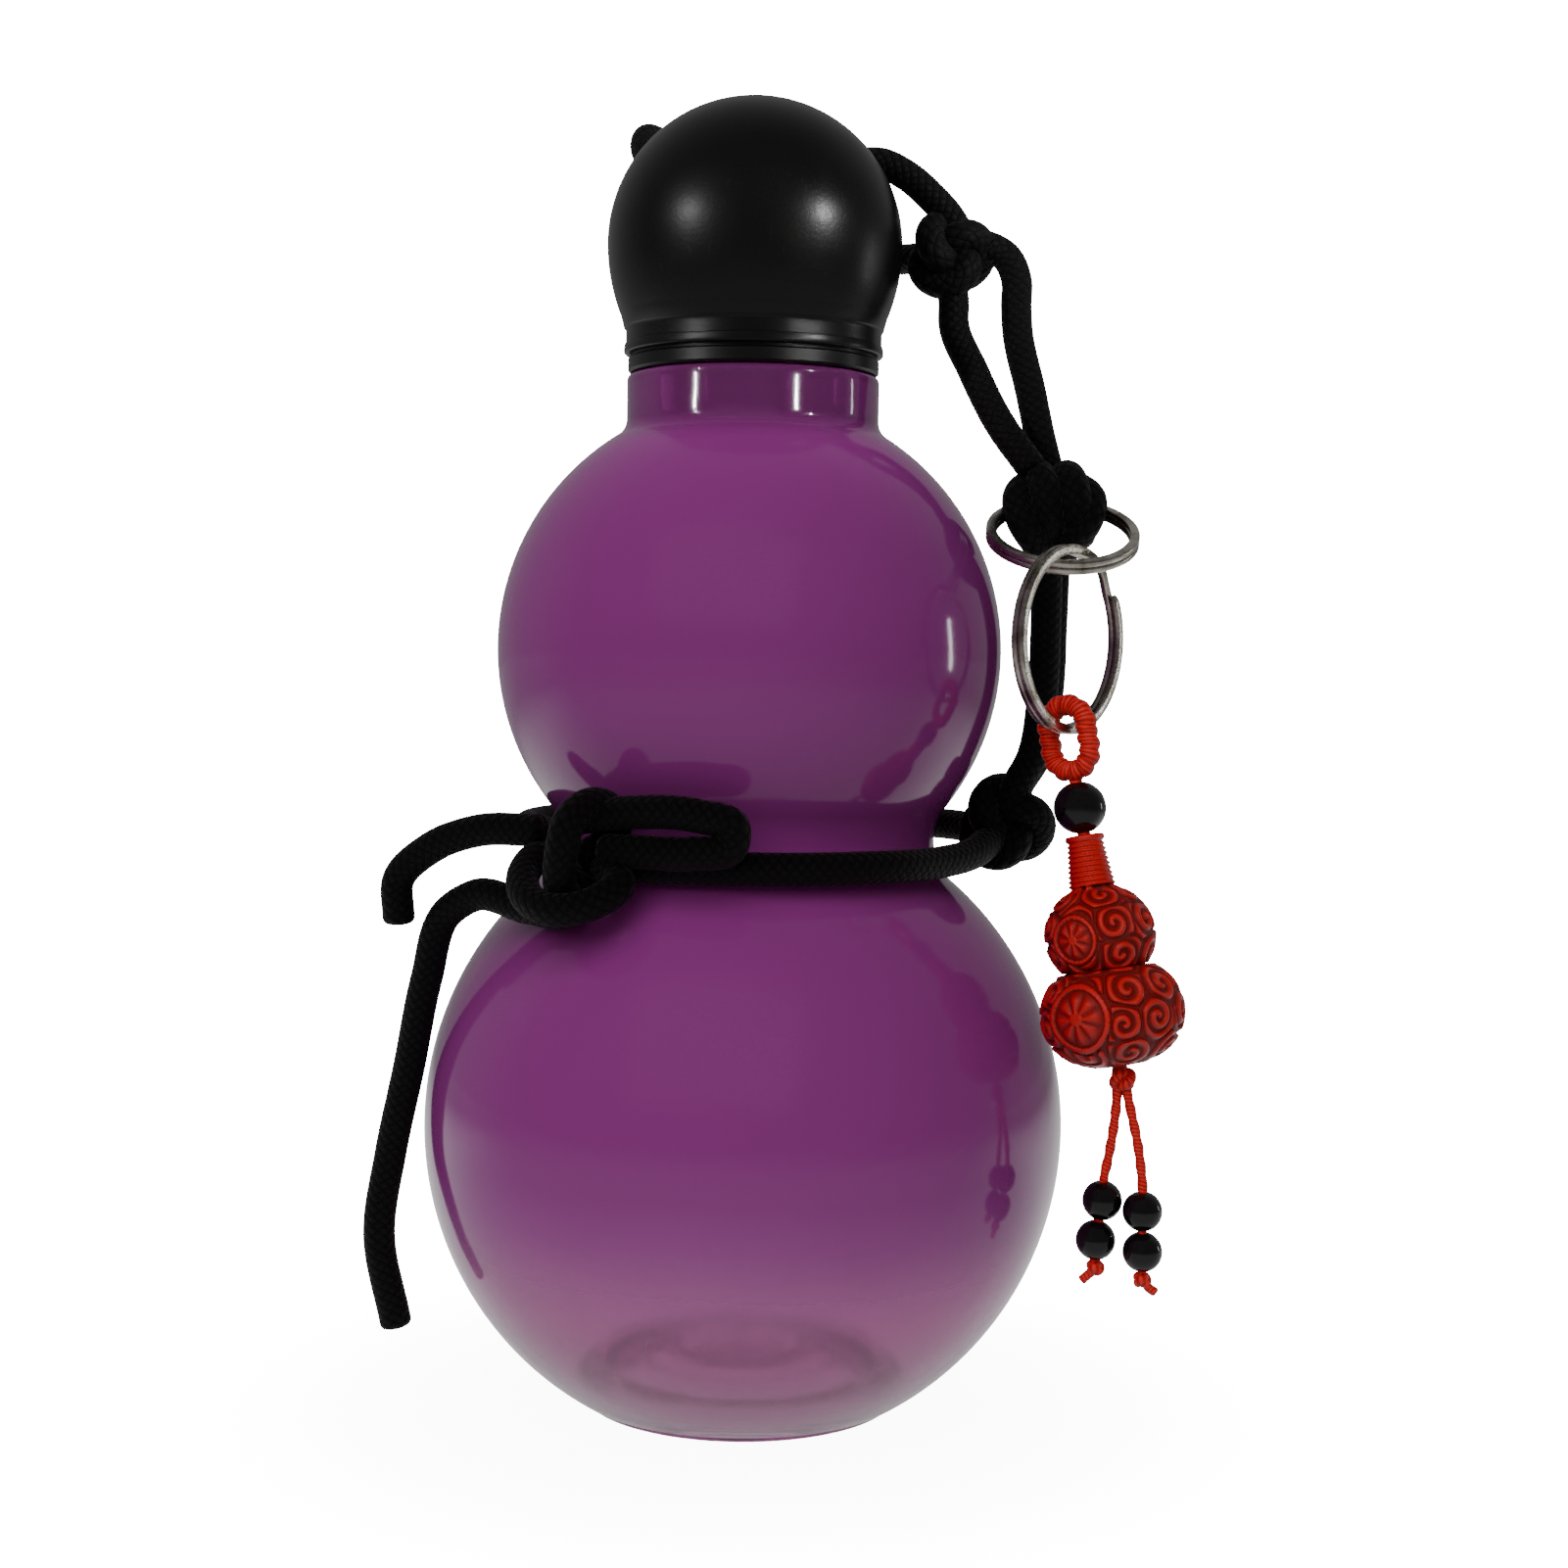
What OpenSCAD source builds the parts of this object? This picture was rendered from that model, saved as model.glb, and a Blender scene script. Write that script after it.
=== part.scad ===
// Gourd water bottle with a ball cap, a knotted cord, two split rings and a carved gourd charm.
// Millimetres, +Z up, origin at the centre of the foot, the photographed front faces -Y.

/* [Bottle] */
// Radius of the lower lobe
low_r = 51; // [48:0.5:56]
// Height of the lower lobe's centre
low_z = 45; // [43.5:0.5:46.5]
// Radius of the waist
waist_r = 30; // [27:0.5:31]
// Radius of the hollow round the waist
waist_fillet = 8.8; // [7:0.2:11]
// Radius of the upper lobe
up_r = 40.3; // [38:0.5:42]
// Thickness of the wall
wall = 2.2; // [1.6:0.2:3]
// Radius of the foot
foot_r = 25; // [24:0.5:28]
// Width of the ring that the foot stands on
foot_w = 3.4; // [2.4:0.2:5]
// Height of the push-up under the foot
punt_h = 4.6; // [3:0.2:6]
// Thickness of the floor over the push-up
floor_t = 4.2; // [3:0.2:5]
// Radius of the moulded ring in the floor
punt_ring_r = 10.5; // [8:0.5:14]
// Depth of the moulded ring in the floor
punt_ring_h = 0.7; // [0.4:0.1:1]

/* [Neck] */
// Radius of the collar under the cap
collar_r = 20.2; // [19.8:0.1:20.6]
// Height of the collar above its fillet
collar_h = 7.2; // [5:0.2:9]
// Radius of the fillet between shoulder and collar
shoulder_fillet = 3; // [2:0.5:4]
// Radius of the rounded collar edge
collar_edge = 1; // [0.6:0.1:1.4]
// Radius of the threaded neck between the threads
neck_r = 16.9; // [16.5:0.1:17.1]
// Height of the threaded neck above the collar
neck_h = 8.4; // [7.6:0.2:8.6]
// Thickness of the neck wall
neck_wall = 2.2; // [1.8:0.1:2.6]

/* [Thread] */
// Rise of the thread in one turn
thread_pitch = 4.5; // [4.4:0.1:5]
// Height of the thread over its root
thread_depth = 1.1; // [0.7:0.1:1.2]
// Width of the thread at its root
thread_root_w = 2; // [1.6:0.1:2.2]
// Width of the thread at its crest
thread_crest_w = 1; // [0.7:0.1:1.2]
// Turns of the thread
thread_turns = 1.25; // [0.75:0.25:1.25]
// Radial clearance between the two threads
thread_clear = 0.4; // [0.3:0.05:0.5]

/* [Cap] */
// Radius of the ball
ball_r = 23.6; // [23:0.2:25]
// Height of the ball's centre above the neck's rim
ball_up = 12.5; // [12:0.25:14]
// Thickness of the ball's wall
ball_wall = 2.4; // [1.8:0.2:3]
// Radius of the ball's flatter lower half
ball_low_r = 30.45; // [29:0.25:33]
// Radius of the skirt
skirt_r = 20.8; // [20.6:0.1:21.2]
// Height of the skirt
skirt_h = 4.2; // [3.4:0.2:5]
// Radius of the band under the skirt
band_r = 20.1; // [19.9:0.1:20.4]
// Height of the band under the skirt
band_h = 2.5; // [2:0.1:3]
// Height of the groove between skirt and band
groove_h = 0.5; // [0.3:0.1:0.8]
// Thickness of the insert's wall
insert_wall = 1.2; // [1:0.1:1.3]
// Thickness of the insert's top
insert_top = 1.8; // [1.2:0.2:2.4]
// Clearance of the insert in the ball
insert_fit = 0.04; // [0.02:0.01:0.08]
// Gap between the cap and the collar
cap_gap = 0.2; // [0.15:0.05:0.4]
// Radius of the tunnel that the cord goes through
tunnel_r = 2.9; // [2.8:0.1:3.2]
// Thickness of the tunnel's wall
tunnel_wall = 1.4; // [1:0.1:2]
// Distance of the tunnel behind the cap's axis
tunnel_y = 8.5; // [8.3:0.1:8.7]
// Height of the tunnel above the ball's centre
tunnel_up = 14.8; // [14.6:0.1:15]
// Turn of the tunnel, seen from above
tunnel_turn = 8; // [7:0.5:9]
// Thickness of the seal ring
seal_t = 1.5; // [1:0.1:2]
// Clearance above and below the seal ring
seal_gap = 0.1; // [0.05:0.05:0.2]

/* [Cord] */
// Diameter of the black cord
cord_d = 5; // [4.4:0.2:5]
// Step from one wrap of a knot to the next
wrap_step = 4.6; // [4.2:0.1:4.8]

/* [Rings] */
// Outer diameter of the upper split ring
ring_a_d = 24; // [22:0.5:26]
// Outer diameter of the lower split ring
ring_b_d = 29; // [27:0.5:31]
// Width of the ring's flat wire
wire_w = 1.6; // [1.2:0.1:1.8]
// Thickness of the ring's flat wire
wire_t = 1.1; // [0.8:0.1:1.2]
// Slope of the upper ring, its front down
ring_a_slope = 28.5; // [26:0.5:31]
// Distance between the two rings' wires where they cross
ring_cross = 2.7; // [2.6:0.1:3.2]
// Turn of the lower ring about the upright
ring_b_turn = 50.6; // [48:0.5:54]

/* [Charm] */
// Lean of the charm, its lower end outwards
charm_lean = 11.6; // [10:0.2:13]
// Diameter of the wound loop's cord
loop_d = 2.8; // [2.4:0.1:2.9]
// Outer width of the wound loop
loop_w = 9.6; // [9:0.2:10]
// Outer length of the wound loop
loop_l = 12.4; // [12:0.4:14.4]
// Diameter of the round bead
bead_d = 8; // [7:0.5:9]
// Diameter of the cord through the beads
string_d = 2; // [1.6:0.1:2.2]
// Clearance of the cord in the beads
string_fit = 0.15; // [0.1:0.05:0.25]
// Gap between the pieces along the charm
charm_gap = 0.2; // [0.1:0.05:0.4]
// Length of the carved gourd
gourd_l = 35; // [33:0.5:38]
// Radius of the carved gourd's lower lobe
gourd_low_r = 11; // [9.5:0.25:11.5]
// Radius of the carved gourd's upper lobe
gourd_up_r = 8.5; // [7.5:0.25:9]
// Radius of the carved gourd's waist
gourd_waist_r = 6.2; // [5.5:0.1:6.8]
// Radius of the carved gourd's neck
gourd_neck_r = 3.2; // [2.8:0.1:3.6]
// Number of ribs round the carved gourd's neck
gourd_ribs = 4; // [3:1:5]
// Diameter of the tassel's threads
thread_d = 1.5; // [1.2:0.1:1.6]
// Diameter of the tassel's beads
tassel_bead_d = 6; // [5:0.5:6]

/* [Hidden] */
$fn = 72;
tiny = 0.01;
arc_step = 6;

// The bottle's outline: two spheres joined by round hollows
waist_c = waist_r + waist_fillet;
waist_z = low_z + sqrt(pow(low_r + waist_fillet, 2) - pow(waist_c, 2));
up_z = waist_z + sqrt(pow(up_r + waist_fillet, 2) - pow(waist_c, 2));
shoulder_c = collar_r + shoulder_fillet;
shoulder_z = up_z + sqrt(pow(up_r + shoulder_fillet, 2) - pow(shoulder_c, 2));
collar_top = shoulder_z + collar_h;
rim_z = collar_top + neck_h;
foot_in_r = foot_r - foot_w;

// The cap's heights, all from the neck's rim
ball_z = rim_z + ball_up;
seal_z = rim_z + seal_gap;
insert_roof = rim_z + seal_t + 2 * seal_gap;
insert_bottom = collar_top + cap_gap;
skirt_bottom = insert_bottom + band_h + groove_h;
insert_bore = neck_r + thread_depth + thread_clear;
socket_r = insert_bore + insert_wall + insert_fit;
thread_z = collar_top + (neck_h - thread_pitch * thread_turns) / 2;

// The rings hang from the hitch, the charm from the lower ring
hitch = [48.6, -2, 144.5];
ring_a_r = (ring_a_d - wire_w) / 2;
ring_b_r = (ring_b_d - wire_w) / 2;
ring_a_centre = hitch + ring_a_r * [0, -cos(ring_a_slope), -sin(ring_a_slope)];
ring_a_front = hitch + 2 * ring_a_r * [0, -cos(ring_a_slope), -sin(ring_a_slope)];
ring_b_centre = ring_a_front + [0, 0, ring_cross - ring_b_r];
ring_b_low = ring_b_centre - [0, 0, ring_b_r];
charm_turn = ring_b_turn - 90;

// Heights along the charm, downwards from the lower ring's wire
loop_top = loop_w / 2 - 0.3;
loop_low = loop_top - loop_l;
bead_z = loop_low - charm_gap - bead_d / 2;
gourd_top = bead_z - bead_d / 2 - charm_gap;
gourd_low = gourd_top - gourd_l;
knot_z = gourd_low - charm_gap;

// Routes of the cord, points chosen by hand along the photographed cord
cap_loop_route = [
    [33, 2.4, 188], [31.4, 3.1, 190.8], [28.3, 3.9, 194.4], [24.5, 4.8, 197.8], [20.5, 5.6, 199.9],
    [-14.5, 10.5, 200], [-18, 12, 202.2], [-18.2, 14.8, 205], [-15.5, 19.5, 205],
    [-9, 25, 200.5], [0, 27.4, 195], [10, 25.5, 190], [20, 18.5, 186.5], [28.5, 7, 185]
];
strand_top_route = [[37, 3, 186.5], [40.6, 2.8, 184.6], [42.3, 2.6, 180.8], [42.3, 2.6, 177.2]];
strand_outer_route = [
    [42.3, 2.6, 176.9], [42.6, 2.6, 172.5], [44.8, 2.3, 163], [46.3, 1.9, 156], [47.6, 1.2, 150.6]
];
strand_inner_route = [
    [32.2, 2.6, 176.9], [32.2, 2.6, 174], [35.4, 1.4, 166], [39.8, -1.2, 157], [44.2, -3.6, 150.6]
];
riser_front_route = [
    [47.4, -2.2, 138], [47.4, -2, 126], [47, -1.9, 114], [45.4, -2.3, 104], [42.4, -2.6, 98]
];
riser_back_route = [
    [49.4, 3.2, 139.6], [49.1, 3.8, 126], [48.6, 3.7, 114], [46.8, 3.3, 104], [43.4, 2.8, 98]
];
waist_front_route = [
    [38.6, -4, 90.6], [36, -9, 89.2], [29.7, -17.8, 88.2], [20.3, -28, 88.2], [7.8, -33.7, 88.2],
    [-6, -34.1, 88.2], [-18.3, -29.3, 88.2], [-23.4, -25.4, 88.6]
];
waist_back_route = [
    [38.6, 4, 91.6], [36, 9, 92], [28.6, 20, 92], [16.4, 30.8, 92], [0.6, 34.9, 92],
    [-15.3, 31.4, 92], [-27.9, 21, 92], [-34.4, 6.1, 92], [-33.4, -10.2, 92], [-27.8, -19.8, 91.6]
];
bow_route = [
    [-24.6, -30.2, 95.2], [-17, -35.4, 96.4], [-7, -39, 96.2], [-2, -39.7, 94.6], [-2.2, -39.7, 92],
    [-8, -38.7, 90.7], [-15, -36.1, 90.6], [-20.6, -33.2, 90.6]
];
tail_short_route = [
    [-31.6, -24, 92.8], [-41, -20.5, 92.4], [-48.6, -17.7, 89.4], [-53.8, -15.8, 84.2],
    [-53.7, -15.4, 78.5]
];
tail_long_route = [
    [-24.4, -31.4, 86], [-26, -31, 81.8], [-32.6, -25.6, 81.2], [-41.5, -19.6, 82.4],
    [-46, -17.4, 79.4], [-49.3, -15.4, 69], [-52.2, -12.6, 55], [-55.2, -10.8, 41],
    [-56.9, -10.6, 28], [-54.2, -10.6, 14.5]
];
tassel_left_route = [[56.1, -28.3, 54.2], [55.2, -28, 46], [54.4, -27.8, 41.5]];
tassel_right_route = [[57.7, -28.7, 54.2], [59.4, -29.3, 46], [60, -29.6, 40.3]];
tassel_left_beads = [[54.2, -27.8, 38.4], [53.3, -27.8, 32.4]];
tassel_right_beads = [[60, -29.6, 37.2], [60.1, -29.6, 31.1]];

// Points of an arc in the profile's plane, from one angle to another
function arc(c, r, from, to) =
    let (n = max(2, ceil(abs(to - from) / arc_step)))
    [for (i = [0 : n]) let (a = from + (to - from) * i / n) c + r * [cos(a), sin(a)]];

function unit(v) = v / norm(v);

// Direction of a route at one of its points
function way(p, i) =
    i == 0 ? unit(p[1] - p[0])
    : i == len(p) - 1 ? unit(p[i] - p[i - 1])
    : unit(unit(p[i + 1] - p[i]) + unit(p[i] - p[i - 1]));

// Side vectors along a route, each turned as little as possible from the one before
function sides_of(p, i = 0, last = [0.31, 0.2, 0.93]) =
    i == len(p) ? []
    : let (t = way(p, i), s = unit(last - (last * t) * t)) concat([s], sides_of(p, i + 1, s));

// Tube of round section along a route
module tube(p, d, n) {
    s = sides_of(p);
    points = [
        for (i = [0 : len(p) - 1])
            let (u = s[i], v = cross(way(p, i), s[i]))
                for (j = [0 : n - 1])
                    p[i] + d / 2 * (cos(360 * j / n) * u + sin(360 * j / n) * v)
    ];
    last = (len(p) - 1) * n;
    walls = [
        for (i = [0 : len(p) - 2])
            for (j = [0 : n - 1])
                let (a = i * n + j, b = i * n + (j + 1) % n)
                    each [[a, a + n, b + n], [a, b + n, b]]
    ];
    ends = [for (j = [1 : n - 2]) each [[0, j, j + 1], [last, last + j + 1, last + j]]];
    polyhedron(points, concat(walls, ends), convexity = 4);
}

// Screw thread: a ridge of sloped sides that sinks into its wall at both ends
module thread_ridge(wall_r, crest_r, start) {
    out = sign(crest_r - wall_r);
    steps = 30;
    n = round(thread_turns * steps);
    lead = 4;
    base_r = wall_r - out * 0.3;
    points = [
        for (i = [0 : n])
            let (
                a = start + 360 * i / steps,
                z = thread_z + thread_pitch * i / steps,
                rise = min(1, i / lead, (n - i) / lead),
                r = wall_r - out * 0.15 + (crest_r - wall_r + out * 0.15) * rise
            )
                for (q = [
                    [base_r, -thread_root_w / 2], [r, -thread_crest_w / 2],
                    [r, thread_crest_w / 2], [base_r, thread_root_w / 2]
                ])
                    [q[0] * cos(a), q[0] * sin(a), z + q[1]]
    ];
    walls = [
        for (i = [0 : n - 1])
            for (j = [0 : 3])
                let (a = i * 4 + j, b = i * 4 + (j + 1) % 4)
                    each [[a, b, b + 4], [a, b + 4, a + 4]]
    ];
    ends = [[0, 3, 2], [0, 2, 1], [n * 4, n * 4 + 1, n * 4 + 2], [n * 4, n * 4 + 2, n * 4 + 3]];
    all = concat(walls, ends);
    polyhedron(points, out > 0 ? all : [for (f = all) [f[2], f[1], f[0]]], convexity = 6);
}

// Knot: wraps of the cord side by side on a core, round the Z axis
module wraps(count, wrap_r, hole_r = 0) {
    half = (count - 1) / 2 * wrap_step;
    rotate_extrude()
        union() {
            translate([hole_r, -half]) square([wrap_r - hole_r, 2 * half]);
            for (i = [0 : count - 1])
                translate([wrap_r, -half + i * wrap_step]) circle(d = cord_d);
        }
}

// Places a shape on the charm's leaning axis, its origin on the lower ring's wire
module on_charm() {
    translate(ring_b_low) rotate([0, 0, charm_turn]) rotate([0, -charm_lean, 0]) children();
}

// Outline of the bottle's outside from the foot to the collar
function outer_outline() =
    let (
        low_start = -acos(foot_r / low_r),
        low_end = atan2(waist_z - low_z, waist_c),
        up_start = -atan2(up_z - waist_z, waist_c),
        up_end = atan2(shoulder_z - up_z, shoulder_c),
        foot_z = low_z + low_r * sin(low_start)
    )
    concat(
        [[foot_r - 0.6, 0], [foot_r, 0.6], [foot_r, max(1.4, foot_z + 1)]],
        arc([0, low_z], low_r, -acos((foot_r + 1.2) / low_r), low_end),
        arc([waist_c, waist_z], waist_fillet, 180 + low_end, 180 + up_start),
        arc([0, up_z], up_r, up_start, up_end),
        arc([shoulder_c, shoulder_z], shoulder_fillet, 180 + up_end, 180),
        arc([collar_r - collar_edge, collar_top - collar_edge], collar_edge, 0, 90)
    );

// Outline of the bottle's inside from the mouth down to the floor's valley
function inner_outline() =
    let (
        mouth_r = neck_r - neck_wall,
        low_in = low_r - wall,
        up_in = up_r - wall,
        low_end = atan2(waist_z - low_z, waist_c),
        up_start = -atan2(up_z - waist_z, waist_c),
        valley_r = foot_r,
        soft = 4,
        soft_c = mouth_r + soft,
        soft_z = up_z + sqrt(pow(up_in + soft, 2) - pow(soft_c, 2)),
        up_end = atan2(soft_z - up_z, soft_c)
    )
    concat(
        arc([soft_c, soft_z], soft, 180, 180 + up_end),
        arc([0, up_z], up_in, up_end, up_start),
        arc([waist_c, waist_z], waist_fillet + wall, 180 + up_start, 180 + low_end),
        arc([0, low_z], low_in, low_end, -acos(valley_r / low_in) + 2)
    );

module bottle_body() {
    mouth_r = neck_r - neck_wall;
    in_ring = punt_ring_r + 1.2;
    color("#7b3575", 0.9)
        union() {
            rotate_extrude()
                polygon(concat(
                    [[0, punt_h], [punt_ring_r, punt_h - punt_ring_h]],
                    [[in_ring, punt_h - 1.6 * punt_ring_h], [foot_in_r - 1.6, 1.2]],
                    [[foot_in_r, 0]],
                    outer_outline(),
                    [[neck_r, collar_top], [neck_r, rim_z - 0.6], [neck_r - 0.6, rim_z]],
                    [[mouth_r + 0.6, rim_z], [mouth_r, rim_z - 0.6]],
                    inner_outline(),
                    [[foot_r - 2.5, floor_t + 1], [in_ring, punt_h + floor_t - 1.6 * punt_ring_h]],
                    [[punt_ring_r, punt_h + floor_t - punt_ring_h], [0, punt_h + floor_t]]
                ));
            thread_ridge(neck_r, neck_r + thread_depth, 0);
        }
}

module seal_ring() {
    color("#d8d4cf")
        translate([0, 0, seal_z])
            difference() {
                cylinder(r = neck_r, h = seal_t);
                translate([0, 0, -1]) cylinder(r = neck_r - neck_wall, h = seal_t + 2);
            }
}

// The ball's outside: a half sphere over a flatter arc, a skirt with a bead under it
module ball_outside() {
    low_c = ball_r - ball_low_r;
    low_end = -acos((skirt_r + 0.4 - low_c) / ball_low_r);
    rotate_extrude()
        polygon(concat(
            [[0, skirt_bottom], [skirt_r - 0.5, skirt_bottom], [skirt_r, skirt_bottom + 0.5]],
            [[skirt_r, skirt_bottom + 1], [skirt_r - 0.3, skirt_bottom + 1.4]],
            [[skirt_r - 0.3, skirt_bottom + skirt_h - 0.6]],
            arc([low_c, ball_z], ball_low_r, low_end, 0),
            arc([0, ball_z], ball_r, 0, 90)
        ));
}

module cap_shell() {
    dome_r = ball_r - ball_wall;
    dome_low = insert_roof + insert_top;
    tunnel_z = ball_z + tunnel_up;
    color("#1b1b1d")
        difference() {
            ball_outside();
            difference() {
                union() {
                    translate([0, 0, skirt_bottom - 1])
                        cylinder(r = socket_r, h = dome_low - skirt_bottom + 1 + tiny);
                    rotate_extrude()
                        polygon(concat(
                            [[0, dome_low]],
                            arc([0, ball_z], dome_r, -asin((ball_z - dome_low) / dome_r), 90)
                        ));
                }
                translate([0, tunnel_y, tunnel_z]) rotate([0, 90, -tunnel_turn])
                    cylinder(r = tunnel_r + tunnel_wall, h = 2 * ball_r, center = true);
            }
            translate([0, tunnel_y, tunnel_z]) rotate([0, 90, -tunnel_turn])
                cylinder(r = tunnel_r, h = 2 * ball_r + 2, center = true);
        }
}

module cap_insert() {
    out_r = insert_bore + insert_wall;
    top_z = insert_roof + insert_top;
    color("#232325")
        union() {
            rotate_extrude()
                polygon([
                    [insert_bore + 0.4, insert_bottom], [band_r - 0.4, insert_bottom],
                    [band_r, insert_bottom + 0.4], [band_r, insert_bottom + band_h - 0.3],
                    [band_r - 0.3, insert_bottom + band_h], [out_r, insert_bottom + band_h],
                    [out_r, top_z - 0.4], [out_r - 0.4, top_z], [0, top_z], [0, insert_roof],
                    [insert_bore, insert_roof], [insert_bore, insert_bottom + 0.4]
                ]);
            thread_ridge(insert_bore, neck_r + thread_clear, 180);
        }
}

module black_cord(p) {
    color("#141416") tube(p, cord_d, 10);
}

module cap_knot() {
    color("#141416")
        translate([31.5, 3, 185.2]) rotate([0, 35, 0]) wraps(2, 3.8);
}

module ring_hitch() {
    color("#141416")
        translate(hitch) rotate([0, 90, 0]) wraps(2, 4.75, 2.25);
}

module side_knot() {
    color("#141416")
        translate([41.3, 0, 93.2]) rotate([0, 30, 0]) wraps(2, 4.3);
}

module waist_knot() {
    color("#141416")
        translate([-27.2, -26.8, 90.5]) rotate([90, 0, 45]) wraps(3, 4.4);
}

// Split ring: two turns of flat wire lying on each other, a groove between them
module split_ring(od) {
    ri = od / 2 - wire_w;
    ro = od / 2;
    edge = 0.25;
    groove = 0.2;
    color("#b9bbc0")
        rotate_extrude()
            polygon([
                [ri, -wire_t + edge], [ri + edge, -wire_t], [ro - edge, -wire_t],
                [ro, -wire_t + edge], [ro, -groove], [ro - groove, 0], [ro, groove],
                [ro, wire_t - edge], [ro - edge, wire_t], [ri + edge, wire_t],
                [ri, wire_t - edge], [ri, groove], [ri + groove, 0], [ri, -groove]
            ]);
}

module split_ring_upper() {
    translate(ring_a_centre) rotate([ring_a_slope, 0, 0]) split_ring(ring_a_d);
}

module split_ring_lower() {
    translate(ring_b_centre) rotate([0, 0, ring_b_turn]) rotate([90, 0, 0]) split_ring(ring_b_d);
}

// Loop of cord wound with red thread, hung over the lower ring's wire
module charm_loop() {
    bend_r = (loop_w - loop_d) / 2;
    leg = loop_l - loop_w;
    color("#b01a1c")
        on_charm()
            translate([0, 0, loop_top - loop_w / 2])
                union() {
                    rotate([90, 0, 0])
                        rotate_extrude(angle = 180) translate([bend_r, 0]) circle(d = loop_d);
                    translate([0, 0, -leg]) rotate([-90, 0, 0])
                        rotate_extrude(angle = 180) translate([bend_r, 0]) circle(d = loop_d);
                    for (x = [-bend_r, bend_r])
                        translate([x, 0, -leg]) cylinder(d = loop_d, h = leg);
                }
}

module charm_bead() {
    color("#0d0d0e")
        on_charm()
            difference() {
                translate([0, 0, bead_z]) sphere(d = bead_d);
                translate([0, 0, bead_z - bead_d]) cylinder(d = string_d + 2 * string_fit, h = 2 * bead_d);
            }
}

// Carved gourd: ribbed neck with a flared lip over two lobes, bored through for the cord
module charm_gourd() {
    neck_l = 8;
    bore = string_d / 2 + string_fit;
    up_c = gourd_top - neck_l - gourd_up_r * 0.86;
    low_c = gourd_low + gourd_low_r * 0.72;
    rib = (neck_l - 1.6) / gourd_ribs;
    color("#b3201f")
        on_charm()
            rotate_extrude()
                polygon(concat(
                    [[bore, gourd_top], [gourd_neck_r, gourd_top], [gourd_neck_r + 0.9, gourd_top - 0.5]],
                    [[gourd_neck_r + 0.6, gourd_top - 1.4]],
                    [for (i = [0 : gourd_ribs - 1]) each [
                        [gourd_neck_r - 0.3 + 0.15 * i, gourd_top - 1.6 - rib * i],
                        [gourd_neck_r + 0.25 + 0.15 * i, gourd_top - 1.6 - rib * (i + 0.5)]
                    ]],
                    arc([gourd_up_r * 0.12, up_c], gourd_up_r * 0.88, 62, -42),
                    [[gourd_waist_r, (up_c + low_c) / 2 + 1.6]],
                    [for (p = arc([gourd_low_r * 0.3, low_c], gourd_low_r * 0.7, 58, -72)) p],
                    [[bore, gourd_low]]
                ));
}

module charm_cord() {
    color("#b01a1c")
        on_charm()
            translate([0, 0, gourd_low - charm_gap]) cylinder(d = string_d, h = loop_low - gourd_low + charm_gap + 0.3);
}

module charm_knot() {
    color("#b01a1c")
        on_charm()
            translate([0, 0, knot_z - 1.9]) scale(1.9) sphere(r = 1);
}

module red_thread(p) {
    color("#b01a1c") tube(p, thread_d, 8);
}

module tassel_beads(places) {
    color("#0d0d0e")
        for (p = places)
            translate(p) sphere(d = tassel_bead_d);
}

module tassel_knot(p) {
    color("#b01a1c")
        translate(p - [0, 0, tassel_bead_d / 2 + 1.3]) sphere(r = 1.4);
}

bottle_body();
seal_ring();
cap_shell();
cap_insert();
black_cord(cap_loop_route);  // cap_loop
cap_knot();
black_cord(strand_top_route);  // strand_top
black_cord(strand_inner_route);  // strand_inner
black_cord(strand_outer_route);  // strand_outer
ring_hitch();
black_cord(riser_front_route);  // riser_front
black_cord(riser_back_route);  // riser_back
side_knot();
black_cord(waist_front_route);  // waist_front
black_cord(waist_back_route);  // waist_back
waist_knot();
black_cord(bow_route);  // bow_loop
black_cord(tail_short_route);  // tail_short
black_cord(tail_long_route);  // tail_long
split_ring_upper();
split_ring_lower();
charm_loop();
charm_bead();
charm_gourd();
charm_cord();
charm_knot();
red_thread(tassel_left_route);  // tassel_thread_left
red_thread(tassel_right_route);  // tassel_thread_right
tassel_beads(tassel_left_beads);  // tassel_beads_left
tassel_beads(tassel_right_beads);  // tassel_beads_right
tassel_knot(tassel_left_beads[1]);  // tassel_knot_left
tassel_knot(tassel_right_beads[1]);  // tassel_knot_right
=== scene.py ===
# Gourd water bottle: a tinted bottle of two lobes, a ball cap, one knotted cord, two split rings
# and a carved charm. Real size in metres, the bottle standing at the origin, +Z up.
import math
import random

import bmesh
import bpy
import numpy as np
from mathutils import Euler, Matrix, Vector


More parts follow.
